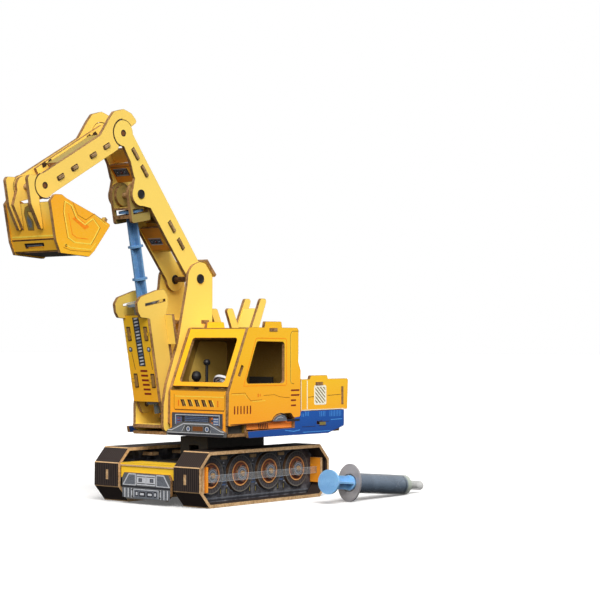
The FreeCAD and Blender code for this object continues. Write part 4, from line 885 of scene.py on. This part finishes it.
LS("cab_side_arch", K_GREY, [[(3.6, 60.2), (1.6, 62.6), (-1.5, 64.2), (-5.2, 64.8), (-8.8, 64.2), (-11.4, 62.6), (-12.6, 60.4), (-12.6, 59.9), (3.6, 59.9)]])
LS("cab_side_arch", K_DARK, stroke([(4.8, 60.2), (2.4, 63.0), (-1.0, 64.9), (-5.2, 65.6), (-9.2, 64.9), (-11.6, 63.3)], 0.7), 1)
LS("cab_side_arch", K_DARK, rect(-27.2, 59.2, -12.4, 61.0))
LS("cab_side_arch", K_LIGHT, stroke([(0.4, 60.9), (-2.0, 62.4), (-5.2, 63.0), (-8.0, 62.4)], 0.4), 1)
LS("cab_side_lines", K_ORANGE, rect(19.5, 78.2, 20.6, 80.6) + rect(17.4, 78.6, 18.2, 80.4))

# painted shade: an olive sheet filling the far side window, standing in for the shaded cab interior seen through it
put("cab_far_pane", "house", M_PALE_SHADED, Vector((SX, P(0, 4.2, 0).y, 0)), U, Z, xz([win]), 0, 1.6)

# sill: brown hatch between the orange strips
yb = P(0, 59.5, 0).y
O2 = Vector((SX, yb, 0))
for i in range(6):
    x = 16.6 - i * 1.9
    put("sill_hatch", "house", K_BROWN, O2, U, Z, xz([[(x - 1.2, 54.8), (x, 54.8), (x + 0.9, 59.6), (x - 0.3, 59.6)]]))

# blue base side: vents, streaks
for x0, x1, st, z0, z1 in ((-29.5, -31.5, 1.9, 62.2, 64.6), (-33.6, -37.4, 1.8, 62.6, 66.0), (-50.8, -58.4, 2.0, 61.8, 65.8), (-63.0, -78.2, 1.9, 61.4, 66.0)):
    x = x0
    while x > x1:
        LS("base_side_lines", K_BLUEL, rect(x - 0.6, z0, x, z1))
        x -= st
LS("base_side_lines", K_BLUEL, stroke([(-10.4, 52.9), (-20.0, 51.7), (-27.5, 52.6)], 0.7) + stroke([(-31.0, 50.6), (-63.4, 50.6)], 0.5) + stroke([(-64.2, 59.0), (-78.4, 59.2)], 0.6))
LS("base_side_lines", K_NAVY, rect(-62.5, 57.6, -48.5, 58.2) + rect(-46.0, 54.4, -30.0, 54.9) + rect(-59.0, 54.6, -50.0, 55.2))
LS("base_side_lines", K_OLIVE, rrect(-58.2, 55.3, -50.6, 57.6, 0.7), 1)
LS("base_side_lines", K_ORANGE, rect(-29.6, 66.2, -29.0, 67.0))

# rear side: white lines, hazard patch, panel line
LS("rear_side_lines", K_WHITE, rect(-29.2, 67.0, -28.7, 89.6) + rect(-36.5, 67.6, -35.6, 89.2) + rect(-80.0, 66.8, -29.2, 67.3))
LS("rear_side_lines", K_BROWN, stroke([(-36.8, 76.6), (-44.0, 77.0)], 0.4) + stroke([(-60.3, 77.5), (-77.0, 78.0)], 0.4))
LS("rear_hazard", K_WHITE, rrect(-58.8, 70.7, -44.2, 85.5, 1.6))


def clip(poly, a, b, c, d):
    """Clips a polygon to a rectangle."""
    def cut(ps, f, g):
        out = []
        for i in range(len(ps)):
            p, q = ps[i - 1], ps[i]
            fp, fq = f(p), f(q)
            if (fp >= 0) != (fq >= 0):
                t = fp / (fp - fq)
                out.append((p[0] + (q[0] - p[0]) * t, p[1] + (q[1] - p[1]) * t))
            if fq >= 0:
                out.append(q)
        return out
    for f in (lambda p: p[0] - a, lambda p: c - p[0], lambda p: p[1] - b, lambda p: d - p[1]):
        poly = cut(poly, f, None)
        if len(poly) < 3:
            return None
    return poly


for i in range(-3, 9):
    z0 = 68.0 + i * 3.0
    st = clip([(-43.0, z0 + 10.6), (-60.0, z0 - 3.6), (-60.0, z0 - 2.4), (-43.0, z0 + 11.8)], -57.4, 72.1, -45.6, 84.1)
    if st:
        LS("rear_hazard", K_OLIVE, [st], 1)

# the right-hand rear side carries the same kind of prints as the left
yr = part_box("rear_sides")[0].y
OR = Vector((SX, yr, 0))


def RS(g, m, s, lv=0):
    put(g, "house", m, OR, X, Z, s, lv)


RS("right_side_lines", K_WHITE, rect(-36.5, 67.6, -35.6, 89.2) + rect(-80.0, 66.9, -31.0, 67.4))
RS("right_side_lines", K_WHITE, rrect(-58.8, 70.7, -44.2, 85.5, 1.6))
RS("right_side_lines", K_BROWN, stroke([(-77.0, 78.0), (-60.3, 77.5)], 0.4) + stroke([(-44.0, 77.0), (-36.8, 76.6)], 0.4))
for i in range(-3, 9):
    z0 = 68.0 + i * 3.0
    st = clip([(-43.0, z0 + 10.6), (-60.0, z0 - 3.6), (-60.0, z0 - 2.4), (-43.0, z0 + 11.8)], -57.4, 72.1, -45.6, 84.1)
    if st:
        RS("right_side_lines", K_OLIVE, [st[::-1]], 1)

# housing front plate: coil spring, bolts, dashes
cu, cn = Vector((0.1902, 0, 0.9817)), Vector((0.9817, 0, -0.1902))
OH = Vector((P(70.6, 0, 0).x, SY, 0.13752))
H = lambda g, m, s, lv=0: put(g, "cylinder", m, OH, Y, cu, [[(p - 5.4, q) for p, q in poly] for poly in s], lv)
spring = [(-11.6, -1.6), (-5.0, -1.6), (-4.2, -38.0), (-10.7, -38.0)]
H("housing_spring", K_DARK, [spring])
for i in range(15):
    a = -2.6 - i * 2.42
    x0 = -11.6 + 0.9 * (-a / 38.0)
    H("housing_spring", K_GREY, [[(x0 + 0.9, a - 1.15), (x0 + 5.7, a - 0.35), (x0 + 5.7, a + 1.15), (x0 + 0.9, a + 0.35)]], 1)
    H("housing_spring", K_BLUEG if i % 4 == 3 else K_LIGHT, [[(x0 + 1.5, a - 0.75), (x0 + 5.0, a - 0.2), (x0 + 5.0, a + 0.85), (x0 + 1.5, a + 0.3)]], 2)
for s0, a0 in ((-17.0, -13.7), (0.4, -13.7), (-15.9, -48.8), (1.5, -48.8)):
    # painted shadow in each slot round the tab end
    H("housing_slots", K_GAP_SHADOW, rrect(s0 - 1.9, a0 - 5.3, s0 + 1.9, a0 + 5.3, 0.5), 5)
    H("housing_slots", K_TAB, rrect(s0 - 1.1, a0 - 4.5, s0 + 1.4, a0 + 4.3, 0.4), 22)
H("housing_bolts", K_GREY, disc(-17.6, -25.5, 1.7) + disc(1.2, -25.5, 1.7))
H("housing_bolts", K_LIGHT, disc(-17.9, -25.2, 0.85) + disc(0.9, -25.2, 0.85), 1)
H("housing_bolts", K_DARK, ring(-17.6, -25.5, 1.5, 1.9) + ring(1.2, -25.5, 1.5, 1.9), 1)
H("housing_lines", K_BROWN, stroke([(-16.9, -27.9), (-15.4, -40.5)], 0.5) + stroke([(1.4, -27.9), (2.4, -40.5)], 0.5))
for y, a in ((-6.8, -41.5), (-6.7, -45.0), (-6.6, -48.5), (-6.2, -51.9), (-6.0, -55.4), (-5.7, -58.7)):
    H("housing_dashes", K_RED, rect(y - 3.5, a - 0.75, y + 3.5, a + 0.75))

# boom braces: grey plate with bolts
ba, bn = Vector((0.615, 0, 0.788)).normalized(), Vector((0.788, 0, -0.615)).normalized()
for tag, o, c in (("upper", P(87.3, 0, 246.7), -6.6), ("lower", P(54.9, 0, 202.3), -12.3)):
    o = Vector((o.x, SY, o.z))
    B = lambda m, s, lv=0: put(f"boom_brace_{tag}_plate", "boom", m, o, Y, ba, s, lv)
    B(K_DARK, rect(-22.6, c - 3.2, -8.2, c + 3.4))
    B(K_GREY, rect(-21.6, c - 2.2, -9.2, c + 2.4), 1)
    B(K_LIGHT, stroke([(-22.2, c + 3.0), (-9.0, c + 3.0)], 0.5) + stroke([(-21.4, c - 2.6), (-9.4, c - 2.6)], 0.4), 2)
    for y in (-19.0, -15.3, -11.6):
        B(K_DARK, disc(y, c, 1.5, 16), 2)
        B(K_BLUEG if y != -15.3 else K_RED, disc(y, c, 1.0, 12), 3)
        B(K_LIGHT, disc(y - 0.25, c + 0.3, 0.45, 10), 4)
    B(K_YELLOW, stroke([(-7.9, c + 3.6), (-6.0, c - 3.6)], 0.6), 1)
    B(K_BROWN, stroke([(-24.0, c + 4.6), (-4.4, c + 4.6)], 0.4))

# bucket side
for ysgn, yy in ((1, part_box("bucket_sides")[1].y), (-1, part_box("bucket_sides")[0].y)):
    o = Vector((SX, yy, 0))
    uu = -X if ysgn > 0 else X

    def BS(m, s, lv=0):
        sh = [[((-a if ysgn > 0 else a), b) for a, b in p] for p in s]
        put("bucket_side_print_left" if ysgn > 0 else "bucket_side_print_right", "bucket", m, o, uu, Z, sh, lv)
    outer = [(161.6, 214.0), (162.6, 206.8), (158.4, 189.4), (152.6, 186.4), (138.0, 185.8), (134.2, 190.6), (129.6, 197.6), (135.8, 203.6), (143.2, 199.0), (151.0, 203.2), (155.6, 211.5)]
    BS(K_ORANGE2, [[(155.2, 202.6), (143.4, 195.6), (139.0, 197.6), (143.2, 200.4), (151.6, 204.4)]])
    BS(K_YELLOW, stroke(outer, 0.9, True), 1)
    BS(K_LINE, stroke([(a + (0.9 if a > 148 else -0.9), b) for a, b in outer], 0.45, True))
    BS(K_LINE, stroke([(154.8, 214.0), (149.9, 205.4), (142.3, 202.4), (134.6, 207.0)], 0.45) + stroke([(134.6, 207.0), (124.0, 201.4)], 0.45))
    BS(K_YELLOW, stroke([(133.6, 205.8), (128.4, 203.0), (122.2, 199.6)], 0.5))
    BS(K_YELLOW, stroke([(162.0, 184.8), (156.2, 182.6), (137.8, 182.0), (133.2, 186.6)], 0.6))
    BS(K_LINE, stroke([(163.2, 182.6), (156.6, 180.8), (137.0, 180.4)], 0.4))
    BS(K_BROWN, ring(160.6, 183.8, 0.55, 1.0, 14))
    BS(K_ORANGE2, stroke([(158.6, 206.0), (155.0, 191.8), (150.8, 189.6), (140.2, 189.2)], 0.6))

# bucket back: fold line, dark slot, hook-shaped print
OB = Vector((P(173.9, 0, 0).x, SY, 0.2132))
BB = lambda m, s, lv=0: put("bucket_back_print", "bucket", m, OB, Y, cu, s, lv)
hook = [(-13.6, -1.6), (-10.0, -4.6), (-12.0, -6.2), (-15.2, -5.7), (-14.8, -7.9), (-11.0, -12.9), (-11.3, -18.8), (-16.9, -18.6), (-18.3, -11.2), (-19.0, -7.0), (-17.3, -3.0)]
BB(K_OLIVE, [hook])
BB(K_GREY, [[(-16.4, -8.6), (-12.8, -12.6), (-12.8, -16.8), (-15.6, -16.8), (-16.8, -11.4)]], 1)
BB(K_BROWN, stroke(hook, 0.4, True), 1)
BB(K_YELLOW, stroke([(-35.4, -23.1), (7.4, -23.1)], 1.0))
BB(K_BROWN, stroke([(-35.4, -25.2), (7.4, -25.2)], 0.5))
ol = Vector((P(168.9, 0, 0).x, SY, 0.18767))
lu = Vector((0.36, 0, 0.933)).normalized()
put("bucket_slot_print", "bucket", K_BLACK, ol, Y, lu, rrect(-23.6, -4.4, -3.8, -1.8, 0.4))
put("bucket_slot_print", "bucket", K_GREY, ol, Y, lu, rect(-21.6, -4.0, -5.8, -3.2), 1)

# front bumper panel of the chassis: generic machinery print
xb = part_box("bumper_panel")[1].x
O = Vector((xb, SY, 0))
for s in (1, -1):
    def FB(m, sh, lv=0):
        put("chassis_panel_print", "undercarriage", m, O, Y, Z, [[(s * a, b) for a, b in p][::s] for p in sh], lv)
    FB(K_LIGHT, [[(-24.2, 13.6), (-18.0, 22.2), (-10.4, 22.2), (-10.4, 13.6)]])
    FB(K_GREY, [[(-22.6, 14.2), (-17.4, 21.4), (-11.2, 21.4), (-11.2, 14.2)]], 1)
    FB(K_LIGHT, rect(-9.6, 14.0, -0.1, 21.6))
    FB(K_DARK, stroke([(-9.0, 15.2), (-0.4, 15.2)], 0.6) + stroke([(-9.0, 20.2), (-0.4, 20.2)], 0.5) + rect(-7.6, 16.4, -4.0, 19.0), 1)
    FB(K_GREY, rect(-7.0, 16.9, -4.6, 18.5), 2)
    FB(K_DARK, rect(-24.4, 12.0, -0.1, 13.2))
    for i in range(6):
        FB(K_LIGHT if i % 2 else K_GREY, rect(-24.0 + i * 1.75, 4.6, -22.9 + i * 1.75, 11.4))
    FB(K_GREY, rect(-12.8, 4.6, -0.1, 11.4))
    FB(K_LIGHT, stroke([(-12.4, 5.2), (-12.4, 10.8), (-0.1, 10.8)], 0.6), 1)
    FB(K_DARK, rrect(-10.8, 5.8, -8.0, 9.8, 0.8) + rrect(-6.8, 5.8, -0.8, 9.4, 0.8), 1)
    FB(K_LIGHT, rrect(-10.2, 6.6, -8.6, 9.0, 0.5) + rrect(-6.0, 6.8, -2.0, 8.4, 0.5), 2)
    FB(K_DARK, disc(-14.2, 10.4, 0.7, 12) + disc(-14.2, 5.6, 0.7, 12))

put("deck_edge", "undercarriage", K_TAN, Vector((P(70.5, 0, 0).x, SY, 0)), Y, Z, rect(-28.2, 27.1, 28.2, 28.2))

# web plates: brackets between the wheels, outlines, lower beam
for sgn, yy in ((1, P(0, 40.85, 0).y), (-1, P(0, -40.9, 0).y)):
    o = Vector((SX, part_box("road_wheels")[0 if sgn < 0 else 1].y, 0))
    o.y = SY + sgn * 0.04085
    uu = -X if sgn > 0 else X
    tag = "left" if sgn > 0 else "right"

    def WB(m, sh, lv=0):
        put(f"web_print_{tag}", "undercarriage", m, o, uu, Z, [[(-sgn * a, b) for a, b in p][::(1 if sgn < 0 else -1)] for p in sh], lv)
    for xc in (34, 2, -30):
        WB(K_GREY, [[(xc - 3.0, 20.0), (xc + 3.0, 20.0), (xc + 1.6, 28.6), (xc - 1.6, 28.6)]])
        WB(K_DARK, rect(xc - 1.0, 20.6, xc + 1.0, 27.6), 1)
        WB(K_BLUEG, rect(xc - 2.4, 14.0, xc + 2.4, 15.2) + rect(xc - 2.4, 16.2, xc + 2.4, 17.0))
        WB(K_DARK, rrect(xc - 4.4, 7.2, xc - 2.2, 12.2, 0.6) + rrect(xc + 2.2, 7.2, xc + 4.4, 12.2, 0.6))
        WB(K_OLIVE, rect(xc - 3.7, 8.0, xc - 2.9, 11.4) + rect(xc + 2.9, 8.0, xc + 3.7, 11.4), 1)
        WB(K_LIGHT, disc(xc, 30.4, 0.6, 10) + disc(xc - 3.9, 13.4, 0.5, 10) + disc(xc + 3.9, 13.4, 0.5, 10), 1)
    WB(K_GREY, rect(-62, 5.0, 62, 5.7) + rect(-60, 36.0, 60, 36.5))
    for xc in (50, 18, -14, -46):
        WB(K_GREY, ring(xc, 22, 14.3, 14.9, 40))
    WB(K_DARK, rect(-66, 3.4, 66, 4.4))


# tan bare ends where neighbouring track boards meet at each corner
for node, tag in (("left_track_boards", "left"), ("right_track_boards", "right")):
    me = NODES[node].data
    groups = {}
    for p in me.polygons:
        n = p.normal
        c = p.center
        if abs(n.y) < 0.1 and abs(n.x) > 0.3 and abs(n.z) > 0.3 and n.x * (c.x - SX) > 0 and n.z * (c.z - 0.020) > 0 and p.area > 2e-5:
            groups.setdefault((round(n.x, 1), round(n.z, 1)), []).append(p)
    for ps in groups.values():
        out = ps[0].normal.copy()
        vs = [me.vertices[v].co for p in ps for v in p.vertices]
        far = max(v.dot(out) for v in vs)
        vs = [v for v in vs if v.dot(out) > far - 2e-5]
        u = Y.cross(out).normalized()
        o = vs[0].copy()
        ts = [(v - o).dot(u) * 1000 for v in vs]
        yy = [(v.y - o.y) * 1000 for v in vs]
        for t0, t1 in ((min(ts) + 0.08, min(ts) + 1.05), (max(ts) - 1.05, max(ts) - 0.08)):
            put(f"track_corner_{tag}", "undercarriage", K_TAN, o, Y, -u, [[(min(yy), -t1), (max(yy), -t1), (max(yy), -t0), (min(yy), -t0)]])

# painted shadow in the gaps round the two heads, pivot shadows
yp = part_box("stick_outer_plates")[1].y
OP = Vector((SX, yp, 0))
put("head_seam", "stick", K_GAP_SHADOW, OP, U, Z, ring(-95.1, 268.0, 9.6, 10.5, 30, 96, 246), 0, -0.015)
put("wrist_seam", "stick", K_GAP_SHADOW, OP, U, Z, ring(-169.4, 225.1, 8.75, 9.5, 30, 120, 300), 0, -0.015)
put("head_pivot_shadow", "boom", K_GAP_SHADOW, OP, U, Z, disc(-95.1, 268.0, 2.5, 24))
put("head_pivot_shadow", "boom", K_BROWN, OP, U, Z, disc(-95.5, 267.7, 1.5, 20), 1)
put("wrist_pivot_shadow", "stick", K_GAP_SHADOW, OP, U, Z, disc(-169.4, 225.1, 2.4, 24))
put("wrist_pivot_shadow", "stick", K_BROWN, OP, U, Z, disc(-169.8, 224.8, 1.4, 20), 1)
# painted shadow at the notched ends of the cross boards against the far inner plate
NOTCH_SHADOWS = []
for nx, nz in ((107.0, 266.6), (149.6, 243.2)):
    a_, c_ = Vector((0.87, -0.5)), Vector((0.5, 0.87))
    for poly in ([(-5.6, -1.4), (-1.2, -1.8), (-1.6, 1.2), (-4.6, 1.4)], [(1.4, -1.6), (5.4, -1.2), (5.0, 1.8), (1.0, 2.0)], [(-1.6, -0.6), (1.6, -0.6), (1.4, 0.5), (-1.4, 0.5)]):
        NOTCH_SHADOWS.append([(-(nx + p * a_.x + q * c_.x), nz + p * a_.y + q * c_.y) for p, q in poly])
put("stick_inner_notch", "stick", K_GAP_SHADOW, Vector((SX, P(0, -21.4, 0).y, 0)), U, Z, NOTCH_SHADOWS)


def block(name, body, centre, u, v, w, su, sv, sw, mat, bevel=0.25):
    """A board end: a box of su x sv x sw mm along u, v, w with its arrises taken off."""
    bm = bmesh.new()
    vs = {}
    for i in (-1, 1):
        for j in (-1, 1):
            for k in (-1, 1):
                vs[i, j, k] = bm.verts.new(centre + (u * (i * su / 2) + v * (j * sv / 2) + w * (k * sw / 2)) / 1000)
    for q in (((-1, -1, -1), (-1, 1, -1), (1, 1, -1), (1, -1, -1)), ((-1, -1, 1), (1, -1, 1), (1, 1, 1), (-1, 1, 1)),
              ((-1, -1, -1), (1, -1, -1), (1, -1, 1), (-1, -1, 1)), ((-1, 1, -1), (-1, 1, 1), (1, 1, 1), (1, 1, -1)),
              ((-1, -1, -1), (-1, -1, 1), (-1, 1, 1), (-1, 1, -1)), ((1, -1, -1), (1, 1, -1), (1, 1, 1), (1, -1, 1))):
        bm.faces.new([vs[k] for k in q])
    bmesh.ops.recalc_face_normals(bm, faces=bm.faces)
    if bevel:
        bmesh.ops.bevel(bm, geom=list(bm.edges), offset=bevel / 1000, segments=2, profile=0.6, affect="EDGES")
    me = bpy.data.meshes.new(name)
    bm.to_mesh(me)
    bm.free()
    me.materials.append(mat)
    o = bpy.data.objects.new(name, me)
    scene.collection.objects.link(o)
    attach(o, body)
    return o


# board ends standing through the plates, with painted shadow in the slot round each
for node, body, plates, ux, uz, ln in (("boom_cross_boards", "boom", "boom_plates", 0.615, 0.788, 10.0), ("stick_cross_boards", "stick", "stick_outer_plates", 0.87, -0.5, 6.6)):
    k = 0
    lo_y, hi_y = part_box(plates)[0].y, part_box(plates)[1].y
    al = Vector((ux, 0, uz)).normalized()
    ac = Vector((-al.z, 0, al.x))
    for ids, n, c, size in pieces_of(NODES[node].data):
        if len(ids) < 8 or size[1] < 25:
            continue
        k += 1
        for sgn, yy, tag in ((1, hi_y, "left"), (-1, lo_y, "right")):
            ctr = Vector((P(c[0], 0, 0).x, yy, c[2] / 1000))
            block(f"{body}_tab_{k}_{tag}", body, ctr + Y * (sgn * 0.0003), al, ac, Y, ln - 1.6, 2.0, 2.0, E_TAB)
            uu = -X if sgn > 0 else X
            p0 = Vector((ctr.x, yy, ctr.z))
            poly = [(-ln / 2, -1.75), (ln / 2, -1.75), (ln / 2, 1.75), (-ln / 2, 1.75)]
            put(f"{body}_slots_{tag}", body, K_GAP_SHADOW, p0, uu, Z, [[((al * a + ac * b).dot(uu), (al * a + ac * b).z) for a, b in (poly if sgn > 0 else poly[::-1])]])

build_prints()


# ---------------------------------------------------------------- turned and formed small pieces
def lathe(name, body, centre, axis, profile, mat, n=32):
    """Turns a profile of (radius, height) in mm about axis through centre."""
    axis = axis.normalized()
    a = axis.orthogonal().normalized()
    b = axis.cross(a)
    bm = bmesh.new()
    rows = []
    for r, h in profile:
        if r < 1e-6:
            rows.append([bm.verts.new(centre + axis * (h / 1000))])
        else:
            rows.append([bm.verts.new(centre + axis * (h / 1000) + (a * math.cos(2 * math.pi * i / n) + b * math.sin(2 * math.pi * i / n)) * (r / 1000)) for i in range(n)])
    for p, q in zip(rows[:-1], rows[1:]):
        for i in range(n):
            j = (i + 1) % n
            if len(p) == 1 and len(q) == 1:
                continue
            if len(p) == 1:
                bm.faces.new((p[0], q[i], q[j]))
            elif len(q) == 1:
                bm.faces.new((p[i], p[j], q[0]))
            else:
                bm.faces.new((p[i], p[j], q[j], q[i]))
    bmesh.ops.recalc_face_normals(bm, faces=bm.faces)
    me = bpy.data.meshes.new(name)
    bm.to_mesh(me)
    bm.free()
    me.materials.append(mat)
    o = bpy.data.objects.new(name, me)
    scene.collection.objects.link(o)
    for p in me.polygons:
        p.use_smooth = False
    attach(o, body)
    return o


eyelet = [(0, 0.12), (2.2, 0.12), (2.45, 0.3), (2.6, 0.55), (3.0, 0.6), (3.3, 0.45), (3.4, 0.0), (3.4, -0.1), (0, -0.1)]
# black eyelets on the pivots of the tower, the boom foot and the lug
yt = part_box("tower_plates")
lathe("tower_eyelet_left", "house", Vector((P(17.5, 0, 0).x, yt[1].y + 0.0006, 0.1655)), Y, [(0, 0.15), (2.4, 0.15), (2.7, 0.35), (3.0, 0.45), (3.4, 0.4), (3.6, 0.0), (3.6, -0.6), (0, -0.6)], M_BLACK)
lathe("tower_eyelet_right", "house", Vector((P(17.5, 0, 0).x, yt[0].y - 0.0006, 0.1655)), -Y, [(0, 0.15), (2.4, 0.15), (2.7, 0.35), (3.0, 0.45), (3.4, 0.4), (3.6, 0.0), (3.6, -0.6), (0, -0.6)], M_BLACK)
yb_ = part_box("boom_plates")
lathe("lug_eyelet_left", "boom", Vector((P(77.2, 0, 0).x, yb_[1].y + 0.0004, 0.2253)), Y, [(0, 0.1), (2.5, 0.1), (2.7, 0.3), (3.1, 0.35), (3.35, 0.2), (3.4, -0.4), (0, -0.4)], M_BLACK)
lathe("lug_eyelet_right", "boom", Vector((P(77.2, 0, 0).x, yb_[0].y - 0.0004, 0.2253)), -Y, [(0, 0.1), (2.5, 0.1), (2.7, 0.3), (3.1, 0.35), (3.35, 0.2), (3.4, -0.4), (0, -0.4)], M_BLACK)

lathe("foot_eyelet_far", "boom", Vector((P(17.5, 0, 0).x, P(0, -24.2, 0).y + 0.0001, 0.1655)), Y, [(2.1, 0.5), (2.6, 0.6), (3.2, 0.5), (3.6, 0.2), (3.6, -0.1), (2.1, -0.1), (2.1, 0.5)], M_BLACK)
# stub plates that hold the clear bands, at the front of each track
block("band_stub_face_left", "undercarriage", P(62.2, 48.2, 20.0), X, Y, Z, 2.3, 5.6, 18.4, M_ORANGE)
block("band_stub_face_right", "undercarriage", P(62.2, -48.2, 20.0), X, Y, Z, 2.3, 5.6, 18.4, M_ORANGE)
# control grip beside the wheel
lathe("cab_grip", "house", P(36.0, 15.6, 83.6), Z, [(0, 0), (1.6, 0), (1.5, 5.0), (2.2, 6.0), (3.3, 7.6), (3.6, 9.4), (3.2, 11.4), (2.0, 12.8), (0, 13.3)], M_BLACK)
# painted shade: a dark block behind the open front corner of the base, standing in for the shade under the cab
block("cab_front_sill", "house", P(40.2, 56.0, 54.9), X, Y, Z, 18.6, 2.4, 8.4, M_DARK)

# ---------------------------------------------------------------- floor
fm = Mat("studio_floor")
fn = fm.noise(3.0, (1, 1, 1), 2.0)
fm.colour(fm.ramp(fn, [(0.3, (0.94, 0.94, 0.94, 1)), (0.7, (0.96, 0.96, 0.96, 1))]))
fm.set(Roughness=0.75, Specular_IOR_Level=0.1, Emission_Color=(1, 1, 1, 1), Emission_Strength=0.10)
bm = bmesh.new()
bmesh.ops.create_grid(bm, x_segments=8, y_segments=8, size=12.0)
for v in bm.verts:
    v.co.z = -0.0001
me = bpy.data.meshes.new("studio_floor")
bm.to_mesh(me)
bm.free()
me.materials.append(fm.m)
floor = bpy.data.objects.new("studio_floor", me)
scene.collection.objects.link(floor)
floor.visible_diffuse = False
floor.visible_glossy = False
